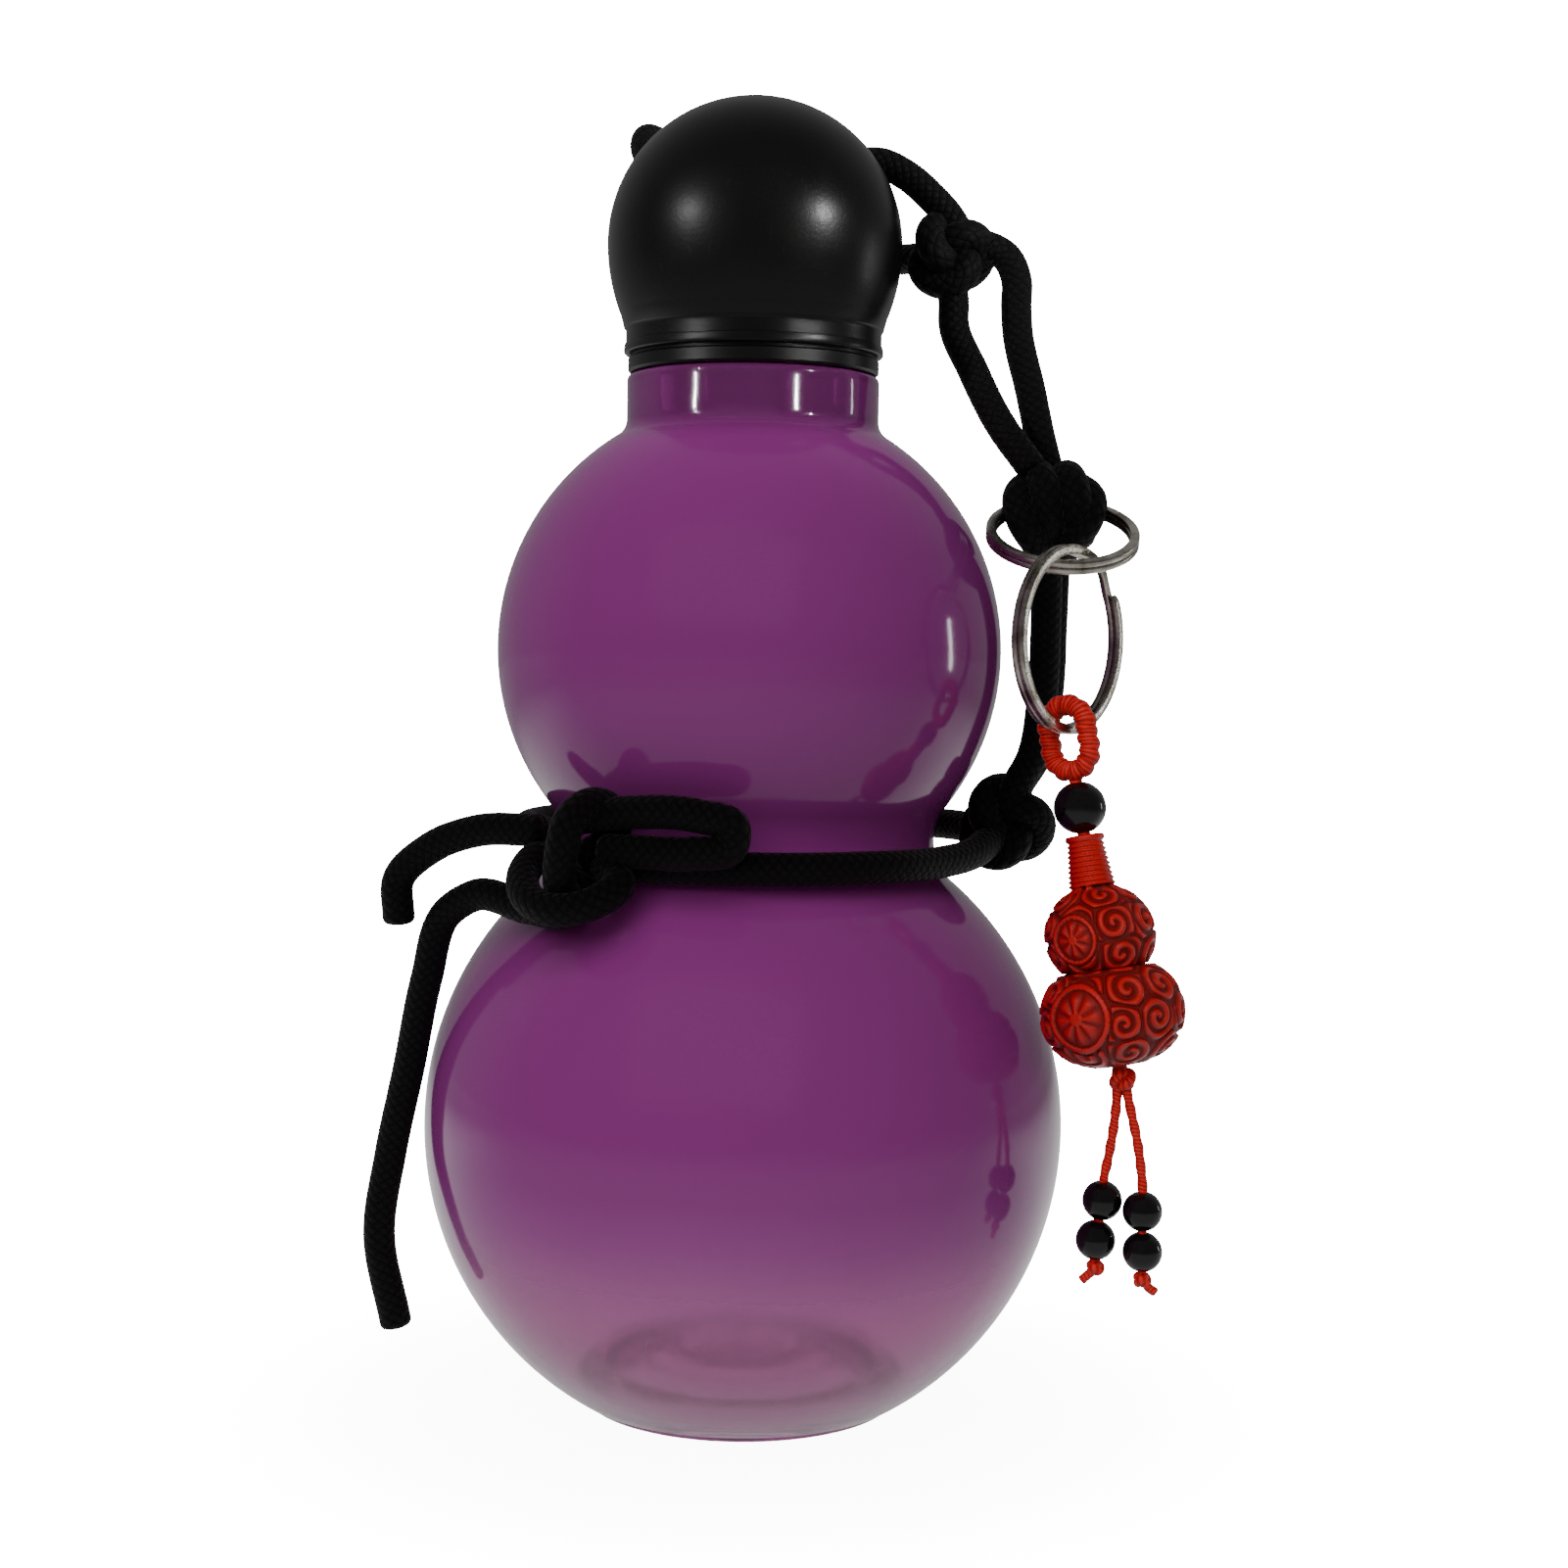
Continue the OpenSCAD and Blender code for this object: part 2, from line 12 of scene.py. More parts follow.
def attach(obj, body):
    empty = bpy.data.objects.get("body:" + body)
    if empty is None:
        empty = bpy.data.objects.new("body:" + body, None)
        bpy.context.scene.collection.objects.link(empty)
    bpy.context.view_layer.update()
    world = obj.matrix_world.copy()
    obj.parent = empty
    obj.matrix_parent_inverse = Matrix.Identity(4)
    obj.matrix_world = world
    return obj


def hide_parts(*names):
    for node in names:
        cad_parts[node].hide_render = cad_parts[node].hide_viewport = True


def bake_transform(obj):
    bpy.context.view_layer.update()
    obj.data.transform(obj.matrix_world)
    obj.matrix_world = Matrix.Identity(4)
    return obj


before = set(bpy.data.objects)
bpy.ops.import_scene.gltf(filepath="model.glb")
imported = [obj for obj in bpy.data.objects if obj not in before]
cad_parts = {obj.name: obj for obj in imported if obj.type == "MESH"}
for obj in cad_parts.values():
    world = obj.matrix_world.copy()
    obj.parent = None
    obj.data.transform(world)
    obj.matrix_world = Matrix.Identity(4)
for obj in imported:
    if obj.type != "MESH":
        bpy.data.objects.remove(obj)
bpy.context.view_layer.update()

# Studio. The bottle stands on a white table before a bright white wall, lit by a large soft box
# over the camera, weaker ones at both sides, two small lamps on the cap and two on the collar.
# The camera stands 0.4 m away, a little above the bottle's middle, and looks slightly down.
MM = 0.001


def linear(hex_colour):
    """An sRGB colour as the linear one that the shaders take."""
    parts = [int(hex_colour[i:i + 2], 16) / 255 for i in (1, 3, 5)]
    return (*[p / 12.92 if p < 0.04045 else ((p + 0.055) / 1.055) ** 2.4 for p in parts], 1)


def add(tree, kind, inputs=(), **settings):
    """One shader node. Its inputs are values or other nodes' outputs, by name or number."""
    made = tree.nodes.new(kind)
    for name, value in settings.items():
        setattr(made, name, value)
    for name, value in dict(inputs).items():
        if isinstance(value, bpy.types.NodeSocket):
            tree.links.new(value, made.inputs[name])
        else:
            made.inputs[name].default_value = value
    return made


def new_material(name):
    """An empty material, with its tree and its output node."""
    material = bpy.data.materials.new(name)
    material.use_nodes = True
    material.node_tree.nodes.clear()
    return material, material.node_tree, add(material.node_tree, "ShaderNodeOutputMaterial")


WHITE_LEVEL = 22.0  # what the camera sees of wall and table; what lights the bottle is far weaker

# The camera's distances are in metres and its angles in degrees.
CAMERA_AWAY = 0.4
CAMERA_HEIGHT = 0.1194
LOOK_DOWN = 1.2
LOOK_ASIDE = -0.81
ROLL = 0.8
camera = bpy.data.objects.new("camera", bpy.data.cameras.new("camera"))
camera.data.sensor_width = 36
camera.data.lens = 57.1
camera.data.clip_start = 0.02
camera.data.shift_y = -0.0473
camera.location = (0, -CAMERA_AWAY, CAMERA_HEIGHT)
look = Euler((math.radians(90 - LOOK_DOWN), 0, math.radians(LOOK_ASIDE))).to_matrix()
camera.rotation_euler = (look @ Matrix.Rotation(math.radians(ROLL), 3, "Z")).to_euler()
bpy.context.collection.objects.link(camera)
bpy.context.scene.camera = camera


def hang(lamp, azimuth, elevation, distance, aim_z):
    """Puts a lamp at a distance in m from a height on the bottle's axis, and turns it to face that.
    Azimuth 0 is the camera's side, and the right is positive."""
    stand = bpy.data.objects.new(lamp.name, lamp)
    a = math.radians(azimuth)
    e = math.radians(elevation)
    out = Vector((math.sin(a) * math.cos(e), -math.cos(a) * math.cos(e), math.sin(e)))
    stand.location = Vector((0, 0, aim_z)) + out * distance
    stand.rotation_euler = out.to_track_quat("Z", "Y").to_euler()
    bpy.context.collection.objects.link(stand)
    return stand


def soft_box(name, azimuth, elevation, distance, width, height, power, mirrored=True):
    """A rectangular light that faces the bottle's middle. One that isn't mirrored stands for light
    from all over the room, so it leaves no square reflection."""
    lamp = bpy.data.lights.new(name, "AREA")
    lamp.shape = "RECTANGLE"
    lamp.size = width
    lamp.size_y = height
    lamp.energy = power
    hang(lamp, azimuth, elevation, distance, 0.11).visible_glossy = mirrored


def small_lamp(name, azimuth, elevation, distance, aim_z, cone, power, radius):
    """A small round lamp whose narrow cone lights only what lies round a height on the axis."""
    lamp = bpy.data.lights.new(name, "SPOT")
    lamp.energy = power
    lamp.spot_size = math.radians(cone)
    lamp.spot_blend = 0.3
    lamp.shadow_soft_size = radius
    hang(lamp, azimuth, elevation, distance, aim_z)


soft_box("soft_box_front", azimuth=-12, elevation=34, distance=1.2, width=1.4, height=1.0, power=15,
         mirrored=False)
soft_box("soft_box_right", azimuth=100, elevation=3, distance=0.9, width=0.03, height=0.22, power=0.3)
soft_box("soft_box_left", azimuth=-105, elevation=6, distance=0.9, width=0.3, height=0.7, power=1.5,
         mirrored=False)
for name, azimuth, power in (("cap_lamp_left", -52, 12), ("cap_lamp_right", 54, 20)):
    small_lamp(name, azimuth, elevation=17, distance=1.0, aim_z=0.186, cone=5, power=power, radius=0.02)
for name, azimuth in (("collar_lamp_left", -53), ("collar_lamp_right", 39)):
    small_lamp(name, azimuth, elevation=5.8, distance=0.6, aim_z=0.160, cone=2.3, power=3, radius=0.009)

# The dense tint lets in less light than the real wall, so a hidden lamp lights the inside.
cavity_lamp = bpy.data.objects.new("cavity_lamp", bpy.data.lights.new("cavity_lamp", "POINT"))
cavity_lamp.data.energy = 0.12
cavity_lamp.data.shadow_soft_size = 0.015
cavity_lamp.location = (0, 0, 0.05)
cavity_lamp.visible_camera = False
cavity_lamp.visible_glossy = False
cavity_lamp.visible_transmission = False
bpy.context.collection.objects.link(cavity_lamp)

world = bpy.data.worlds.new("studio")
world.use_nodes = True
bpy.context.scene.world = world
sky = world.node_tree
sky.nodes.clear()
# What lights the bottle and shows in it is a dim room, brighter behind the bottle than before it.
seen = add(sky, "ShaderNodeLightPath").outputs["Is Camera Ray"]
direction = add(sky, "ShaderNodeTexCoord").outputs["Generated"]
towards = add(sky, "ShaderNodeSeparateXYZ", {0: direction})
backdrop = add(sky, "ShaderNodeMapRange", {"Value": towards.outputs["Y"], "From Min": -0.3,
               "From Max": 0.75, "To Min": 0.112, "To Max": 0.272}, interpolation_type="SMOOTHSTEP")
level = add(sky, "ShaderNodeMix", {"Factor": seen, 2: backdrop.outputs[0], 3: WHITE_LEVEL},
            data_type="FLOAT")
glow = add(sky, "ShaderNodeBackground", {"Color": (1, 1, 1, 1), "Strength": level.outputs[0]})
add(sky, "ShaderNodeOutputWorld", {"Surface": glow.outputs[0]})

TABLE_HALF = 3
table_mesh = bpy.data.meshes.new("table")
table_corners = [(x * TABLE_HALF, y * TABLE_HALF, 0) for x, y in ((-1, -1), (1, -1), (1, 1), (-1, 1))]
table_mesh.from_pydata(table_corners, [], [(0, 1, 2, 3)])
table = bpy.data.objects.new("table", table_mesh)
table.location.z = -0.1 * MM
bpy.context.collection.objects.link(table)

# White card, matt. The camera sees it as white as the wall, with some of the bottle's shadow left
# round the foot. To the bottle it glows, painted light standing in for a lit table, and the glow
# is brighter close behind it.
white_card, tree, out = new_material("white_card")
card = add(tree, "ShaderNodeBsdfPrincipled", {"Base Color": linear("#dcdad9"), "Roughness": 0.9,
           "Specular IOR Level": 0.1})
seen = add(tree, "ShaderNodeLightPath").outputs["Is Camera Ray"]
place = add(tree, "ShaderNodeTexCoord").outputs["Object"]
far = add(tree, "ShaderNodeVectorMath", {0: place}, operation="LENGTH")
behind = add(tree, "ShaderNodeSeparateXYZ", {0: place}).outputs["Y"]
close = add(tree, "ShaderNodeMapRange", {"Value": behind, "From Min": -0.08, "From Max": 0.12,
            "To Min": 0.45, "To Max": 1.25}, interpolation_type="SMOOTHSTEP")
depth = add(tree, "ShaderNodeMapRange", {"Value": behind, "From Min": -0.5, "From Max": 0.8,
            "To Min": 0.14, "To Max": 0.34}, interpolation_type="SMOOTHSTEP")
near = add(tree, "ShaderNodeMapRange", {"Value": far.outputs["Value"], "From Min": 0.02, "From Max": 0.8,
           "To Min": 1.0, "To Max": 0.0}, interpolation_type="SMOOTHERSTEP")
# Painted light: how strongly the card glows towards the bottle, brighter close behind it.
lit = add(tree, "ShaderNodeMix", {"Factor": near.outputs[0], 2: depth.outputs[0], 3: close.outputs[0]},
          data_type="FLOAT")
strength = add(tree, "ShaderNodeMix", {"Factor": seen, 2: lit.outputs[0], 3: WHITE_LEVEL}, data_type="FLOAT")
bright = add(tree, "ShaderNodeEmission", {"Strength": strength.outputs[0]})
fade = add(tree, "ShaderNodeMapRange", {"Value": far.outputs["Value"], "From Min": 0.03, "From Max": 0.14,
           "To Min": 0.5, "To Max": 1.0}, interpolation_type="SMOOTHSTEP")
share = add(tree, "ShaderNodeMix", {"Factor": seen, 2: 0.9, 3: fade.outputs[0]}, data_type="FLOAT")
surface = add(tree, "ShaderNodeMixShader", {0: share.outputs[0], 1: card.outputs[0], 2: bright.outputs[0]})
tree.links.new(surface.outputs[0], out.inputs["Surface"])
table_mesh.materials.append(white_card)


# Bottle. Blow-moulded clear plastic, two lobes with a round waist, a cup-shaped collar and a
# threaded neck. It is dyed purple from the top down, and the dye fades out over the lowest fifth.
# The foot is a ring round a pushed-up floor with moulded rings in it. All sizes are in mm.
LOW_R = 51
LOW_Z = 45
WAIST_R = 30
WAIST_FILLET = 8.8
UP_R = 40.3
WALL = 2.2
WAIST_C = WAIST_R + WAIST_FILLET
WAIST_Z = LOW_Z + math.sqrt((LOW_R + WAIST_FILLET) ** 2 - WAIST_C ** 2)
UP_Z = WAIST_Z + math.sqrt((UP_R + WAIST_FILLET) ** 2 - WAIST_C ** 2)
COLLAR_R = 20.2
SHOULDER_FILLET = 3
COLLAR_H = 7.2
NECK_R = 16.9
NECK_H = 8.4
MOUTH_R = 14.7
MOUTH_FILLET = 4
SHOULDER_C = COLLAR_R + SHOULDER_FILLET
SHOULDER_Z = UP_Z + math.sqrt((UP_R + SHOULDER_FILLET) ** 2 - SHOULDER_C ** 2)
COLLAR_TOP = SHOULDER_Z + COLLAR_H
RIM_Z = COLLAR_TOP + NECK_H
THREAD_PITCH = 4.5
THREAD_DEPTH = 1.1
THREAD_TURNS = 1.25
STEPS_A_TURN = 30
THREAD_STEP_ANGLE = 360 / STEPS_A_TURN
THREAD_STEPS = 38
FOOT_LIP_R = 26.2
FLOOR_R = 27.2
FLOOR_STEPS = 108
FLOOR_RINGS = (23.2, 9.8, 5.6)


def arc(centre, radius, start, end, step=1.5):
    """Points of an arc in a profile's plane, angles in degrees."""
    count = max(2, math.ceil(abs(end - start) / step))
    angles = np.radians(np.linspace(start, end, count + 1))
    return [(centre[0] + radius * math.cos(a), centre[1] + radius * math.sin(a)) for a in angles]


def line(start, end, step=0.6):
    """Points along a straight part of a profile, without its last one."""
    count = max(1, round(math.dist(start, end) / step))
    return [(start[0] + (end[0] - start[0]) * i / count, start[1] + (end[1] - start[1]) * i / count)
            for i in range(count)]


def angle_at(rise, run):
    """The angle of a slope, in degrees."""
    return math.degrees(math.atan2(rise, run))


def place_mesh(name, points, faces, uvs=None, materials=(), sharp=None):
    """A smooth-shaded object of points in metres and faces, with UVs for each face's corners."""
    mesh = bpy.data.meshes.new(name)
    mesh.from_pydata([tuple(p) for p in points], [], faces)
    if uvs is not None:
        layer = mesh.uv_layers.new(name="along")
        layer.data.foreach_set("uv", np.asarray(uvs, np.float32).ravel())
    mesh.polygons.foreach_set("use_smooth", np.ones(len(mesh.polygons), bool))
    if sharp is not None:
        mesh.set_sharp_from_angle(angle=math.radians(sharp))
    for material in materials:
        mesh.materials.append(material)
    made = bpy.data.objects.new(name, mesh)
    bpy.context.collection.objects.link(made)
    return made


def turned(profile, sides, bump=None):
    """Points in mm and faces of a profile turned round Z. bump(r, z, angle) moves r."""
    rows, points = [], []
    angles = 2 * math.pi * np.arange(sides) / sides
    for r, z in profile:
        if r < 1e-6:
            rows.append([len(points)] * sides)
            points.append((0, 0, z))
            continue
        rows.append(list(range(len(points), len(points) + sides)))
        radii = np.full(sides, r) if bump is None else bump(r, z, angles)
        points += list(zip(radii * np.cos(angles), radii * np.sin(angles), np.full(sides, z)))
    faces = []
    for a, b in zip(rows, rows[1:]):
        for j in range(sides):
            k = (j + 1) % sides
            quad = list(dict.fromkeys((a[j], a[k], b[k], b[j])))
            if len(quad) > 2:
                faces.append(quad)
    return np.array(points), faces


def screw_ridge(first_z, angles, z):
    """Height of the thread's ridge, from 0 to 1, at a height z and at each angle round the axis."""
    total = np.zeros(len(angles))
    for turn in (0, 1):
        step = (np.degrees(angles) % 360 + 360 * turn) / THREAD_STEP_ANGLE
        off = abs(z - first_z - THREAD_PITCH * step / STEPS_A_TURN)
        rise = np.clip(np.minimum(step, THREAD_STEPS - step) / 4, 0, 1)
        total = np.maximum(total, np.clip((1.0 - off) / 0.5, 0, 1) * rise)
    return total


low_end = angle_at(WAIST_Z - LOW_Z, WAIST_C)
up_start = -angle_at(UP_Z - WAIST_Z, WAIST_C)
up_end = angle_at(SHOULDER_Z - UP_Z, SHOULDER_C)
mouth_z = UP_Z + math.sqrt((UP_R - WALL + MOUTH_FILLET) ** 2 - (MOUTH_R + MOUTH_FILLET) ** 2)
in_end = angle_at(mouth_z - UP_Z, MOUTH_R + MOUTH_FILLET)
foot_start = -math.degrees(math.acos(FOOT_LIP_R / LOW_R))

# The profile runs from the middle of the underside out over the foot, up the outside, over the
# neck's rim and down the inside to the middle of the floor.
under = [(0, 4.6), *line((0.5, 4.6), (9.2, 4.5)), *arc((10.5, 4.45), 1.0, 175, 5, 15),
         *line((11.9, 4.5), (14.6, 4.1)), *arc((15.4, 4.0), 0.7, 175, 5, 20),
         *line((16.3, 3.9), (20.4, 1.2)), (21.1, 0.5), (21.7, 0.12), (22.2, 0), (23.2, 0), (24.2, 0.05)]
outside = [(24.7, 0.25), (25.0, 0.7), (25.15, 1.3), (25.5, 1.75),
           *arc((0, LOW_Z), LOW_R, foot_start, low_end),
           *arc((WAIST_C, WAIST_Z), WAIST_FILLET, 180 + low_end, 180 + up_start, 4)[1:],
           *arc((0, UP_Z), UP_R, up_start, up_end)[1:],
           *arc((SHOULDER_C, SHOULDER_Z), SHOULDER_FILLET, 180 + up_end, 180, 8)[1:],
           *line((COLLAR_R, SHOULDER_Z + 0.4), (COLLAR_R, COLLAR_TOP - 1)),
           *arc((COLLAR_R - 1, COLLAR_TOP - 1), 1, 0, 90, 12),
           (COLLAR_R - 2, COLLAR_TOP), (NECK_R + 0.6, COLLAR_TOP), (NECK_R + 0.15, COLLAR_TOP + 0.15)]
neck = [*line((NECK_R, COLLAR_TOP + 0.6), (NECK_R, RIM_Z - 0.6), 0.22),
        *arc((NECK_R - 0.6, RIM_Z - 0.6), 0.6, 0, 90, 22),
        *arc((MOUTH_R + 0.6, RIM_Z - 0.6), 0.6, 90, 180, 22)]
floor = []
for i in range(1, FLOOR_STEPS + 1):
    r = FLOOR_R * (1 - i / FLOOR_STEPS)
    lobe_z = LOW_Z - math.sqrt((LOW_R - WALL) ** 2 - r ** 2)
    pushed_z = 6.9 + 1.9 * (1 - r / FLOOR_R)
    push = min(1, (FLOOR_R - r) / 5)
    push = push * push * (3 - 2 * push)
    rings = sum(0.45 * math.exp(-((r - ring_r) / 0.5) ** 2) for ring_r in FLOOR_RINGS)
    floor.append((r, lobe_z * (1 - push) + pushed_z * push + rings))
inside = [*line((MOUTH_R, RIM_Z - 1.2), (MOUTH_R, mouth_z + 0.5)),
          *arc((MOUTH_R + MOUTH_FILLET, mouth_z), MOUTH_FILLET, 180, 180 + in_end, 4),
          *arc((0, UP_Z), UP_R - WALL, in_end, up_start)[1:],
          *arc((WAIST_C, WAIST_Z), WAIST_FILLET + WALL, 180 + up_start, 180 + low_end, 4)[1:],
          *arc((0, LOW_Z), LOW_R - WALL, low_end, -56)[1:], *floor]
first_thread_z = COLLAR_TOP + (NECK_H - THREAD_PITCH * THREAD_TURNS) / 2


def neck_bump(r, z, angles):
    """The neck's radius with its thread, and the plain radius everywhere else."""
    ridge = screw_ridge(first_thread_z, angles, z) if abs(r - NECK_R) < 0.01 else 0
    return r + THREAD_DEPTH * ridge * np.ones(len(angles))


points, faces = turned(under + outside + neck + inside, 240, neck_bump)
bottle = place_mesh("bottle_wall", points * MM, faces, sharp=50)
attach(bottle, "bottle")
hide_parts("bottle_body")


def tinted_plastic():
    """Clear plastic dyed purple: glossy and dense, faintly cloudy, fading to clear at the foot. The
    clouds of 36 mm and the 11 mm waves are those of a blown wall."""
    material, tree, out = new_material("tinted_plastic")
    place = add(tree, "ShaderNodeTexCoord").outputs["Object"]
    height = add(tree, "ShaderNodeSeparateXYZ", {0: place}).outputs["Z"]
    cloud = add(tree, "ShaderNodeTexNoise", {"Vector": place, "Scale": 28, "Detail": 3})
    uneven = add(tree, "ShaderNodeMath", {0: cloud.outputs["Fac"], 1: 0.004, 2: -0.002},
                 operation="MULTIPLY_ADD")
    level = add(tree, "ShaderNodeMath", {0: height, 1: uneven.outputs[0]}, operation="ADD")
    share = add(tree, "ShaderNodeMapRange", {"Value": level.outputs[0], "From Min": 0.0, "From Max": 0.1})
    tint = add(tree, "ShaderNodeValToRGB", {"Fac": share.outputs[0]})
    stops = [(0.0, "#d2a6c4"), (0.14, "#d2a0c2"), (0.22, "#cf92be"), (0.29, "#b96dab"),
             (0.35, "#9c4692"), (0.42, "#8b3180")]
    tint.color_ramp.interpolation = "B_SPLINE"
    while len(tint.color_ramp.elements) < len(stops):
        tint.color_ramp.elements.new(0.5)
    for stop, (position, colour) in zip(tint.color_ramp.elements, stops):
        stop.position = position
        stop.color = linear(colour)
    foot = add(tree, "ShaderNodeMapRange", {"Value": level.outputs[0], "From Min": 0.018, "From Max": 0.04,
               "To Min": 0.9, "To Max": 0.22}, interpolation_type="SMOOTHSTEP")
    collar = add(tree, "ShaderNodeMapRange", {"Value": height, "From Min": 0.152, "From Max": 0.158,
                 "To Max": 0.5}, interpolation_type="SMOOTHSTEP")
    clear = add(tree, "ShaderNodeMath", {0: foot.outputs[0], 1: collar.outputs[0]}, operation="ADD")
    fine = add(tree, "ShaderNodeTexNoise", {"Vector": place, "Scale": 90, "Detail": 2})
    wave = add(tree, "ShaderNodeBump", {"Height": fine.outputs["Fac"], "Strength": 0.04, "Distance": 0.002})
    gloss = add(tree, "ShaderNodeMapRange", {"Value": cloud.outputs["Fac"], "To Min": 0.07, "To Max": 0.12})
    body = add(tree, "ShaderNodeBsdfPrincipled", {
        "Base Color": tint.outputs[0], "Roughness": gloss.outputs[0], "IOR": 1.5,
        "Transmission Weight": clear.outputs[0], "Normal": wave.outputs[0]})
    tree.links.new(body.outputs[0], out.inputs["Surface"])
    return material


bottle.data.materials.append(tinted_plastic())


# Seal. A flat moulded ring of milky silicone, 1.5 mm thick, that lies on the neck's rim under the
# cap's insert. It is shown by its CAD solid, with this finish.
SEAL_T = 1.5


def milky_silicone():
    """Soft translucent silicone. Its dull skin is drawn at 1.1 mm, coarser than the real one."""
    material, tree, out = new_material("milky_silicone")
    place = add(tree, "ShaderNodeTexCoord").outputs["Object"]
    grain = add(tree, "ShaderNodeTexNoise", {"Vector": place, "Scale": 900, "Detail": 2})
    dull = add(tree, "ShaderNodeMapRange", {"Value": grain.outputs["Fac"], "To Min": 0.42, "To Max": 0.62})
    skin = add(tree, "ShaderNodeBump", {"Height": grain.outputs["Fac"], "Strength": 0.1, "Distance": 0.0002})
    body = add(tree, "ShaderNodeBsdfPrincipled", {
        "Base Color": linear("#dcd8d2"), "Roughness": dull.outputs[0], "IOR": 1.41,
        "Subsurface Weight": 0.3, "Subsurface Radius": (0.004, 0.004, 0.003), "Normal": skin.outputs[0]})
    tree.links.new(body.outputs[0], out.inputs["Surface"])
    return material


def dress(node, material):
    """Gives a shown CAD node its finish."""
    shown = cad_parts[node]
    shown.data.materials.clear()
    shown.data.materials.append(material)


dress("seal_ring", milky_silicone())


# Cap. A moulded black ball, half a sphere over a flatter arc, with a skirt. A tunnel for the cord
# runs across it. The insert is a second moulding, pressed in from below, with the female thread
# and a band that shows under the skirt.
BALL_R = 23.6
BALL_UP = 12.5
BALL_LOW_R = 30.45
BALL_WALL = 2.4
SKIRT_R = 20.8
CAP_GAP = 0.2
BAND_H = 2.5
GROOVE_H = 0.5
SEAL_GAP = 0.1
THREAD_CLEAR = 0.4
INSERT_WALL = 1.2
INSERT_TOP = 1.8
INSERT_FIT = 0.04
BALL_Z = RIM_Z + BALL_UP
SKIRT_LOW = COLLAR_TOP + CAP_GAP + BAND_H + GROOVE_H
low_arc_c = BALL_R - BALL_LOW_R
skirt_end = -math.degrees(math.acos((SKIRT_R + 0.4 - low_arc_c) / BALL_LOW_R))
socket_r = NECK_R + THREAD_DEPTH + THREAD_CLEAR + INSERT_WALL + INSERT_FIT
dome_low = RIM_Z + SEAL_T + 2 * SEAL_GAP + INSERT_TOP
dome_start = -math.degrees(math.asin((BALL_Z - dome_low) / (BALL_R - BALL_WALL)))

# The profile runs from the socket's edge out over the skirt, up the outside to the top, and back
# down the hollow into the socket.
ball = [(socket_r, SKIRT_LOW + 0.1), *line((socket_r + 0.1, SKIRT_LOW), (SKIRT_R - 0.4, SKIRT_LOW)),
        *arc((SKIRT_R - 0.4, SKIRT_LOW + 0.4), 0.4, -90, 0, 15), (SKIRT_R, SKIRT_LOW + 0.9),
        *arc((SKIRT_R - 0.3, SKIRT_LOW + 1.35), 0.22, 40, 80, 20),
        *line((SKIRT_R - 0.3, SKIRT_LOW + 1.6), (SKIRT_R - 0.3, SKIRT_LOW + 3.4)),
        *arc((SKIRT_R + 0.6, SKIRT_LOW + 3.5), 0.9, 180, 130, 8),
        *arc((low_arc_c, BALL_Z), BALL_LOW_R, skirt_end + 0.6, 0, 1.2),
        *arc((0, BALL_Z), BALL_R, 0, 90, 1.2)[1:-1], (0, BALL_Z + BALL_R)]
hollow = [*arc((0, BALL_Z), BALL_R - BALL_WALL, 90, dome_start, 3), (socket_r, dome_low),
          (socket_r, SKIRT_LOW + 1)]
points, faces = turned(ball + hollow, 192)
cap = place_mesh("cap_ball", points * MM, faces)

TUNNEL_R = 2.9
TUNNEL_WALL = 1.4
TUNNEL_MIDDLE = Vector((0, 8.5, BALL_Z + 14.8))
TUNNEL_TURN = math.radians(8)
LONGER_THAN_BALL = 60
tunnel_place = (Matrix.Translation(TUNNEL_MIDDLE * MM) @ Matrix.Rotation(TUNNEL_TURN, 4, "Z")
                @ Matrix.Rotation(math.radians(90), 4, "Y"))


def rod(name, radius, length, place):
    """A round bar about its own Z axis, for cutting and joining."""
    end = length / 2
    points, faces = turned([(0, -end), (radius, -end), (radius, end), (0, end)], 64)
    made = place_mesh(name, points * MM, faces)
    made.data.transform(place)
    return made


def combine(target, operation, tool):
    """Joins, cuts or trims the target by the tool, then removes the tool."""
    step = target.modifiers.new("combine", "BOOLEAN")
    step.operation = operation
    step.solver = "EXACT"
    step.object = tool
    bpy.context.view_layer.update()
    done = bpy.data.meshes.new_from_object(target.evaluated_get(bpy.context.evaluated_depsgraph_get()))
    target.modifiers.clear()
    target.data = done
    bpy.data.objects.remove(tool)


sleeve = rod("sleeve", TUNNEL_R + TUNNEL_WALL, LONGER_THAN_BALL, tunnel_place)
points, faces = turned([(0, BALL_Z - 12), *arc((0, BALL_Z), BALL_R - 0.3, -30, 90, 3)], 96)
combine(sleeve, "INTERSECT", place_mesh("trim", points * MM, faces))
combine(cap, "UNION", sleeve)
combine(cap, "DIFFERENCE", rod("tunnel", TUNNEL_R, LONGER_THAN_BALL, tunnel_place))
cap.data.set_sharp_from_angle(angle=math.radians(35))
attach(cap, "cap")
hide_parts("cap_shell")


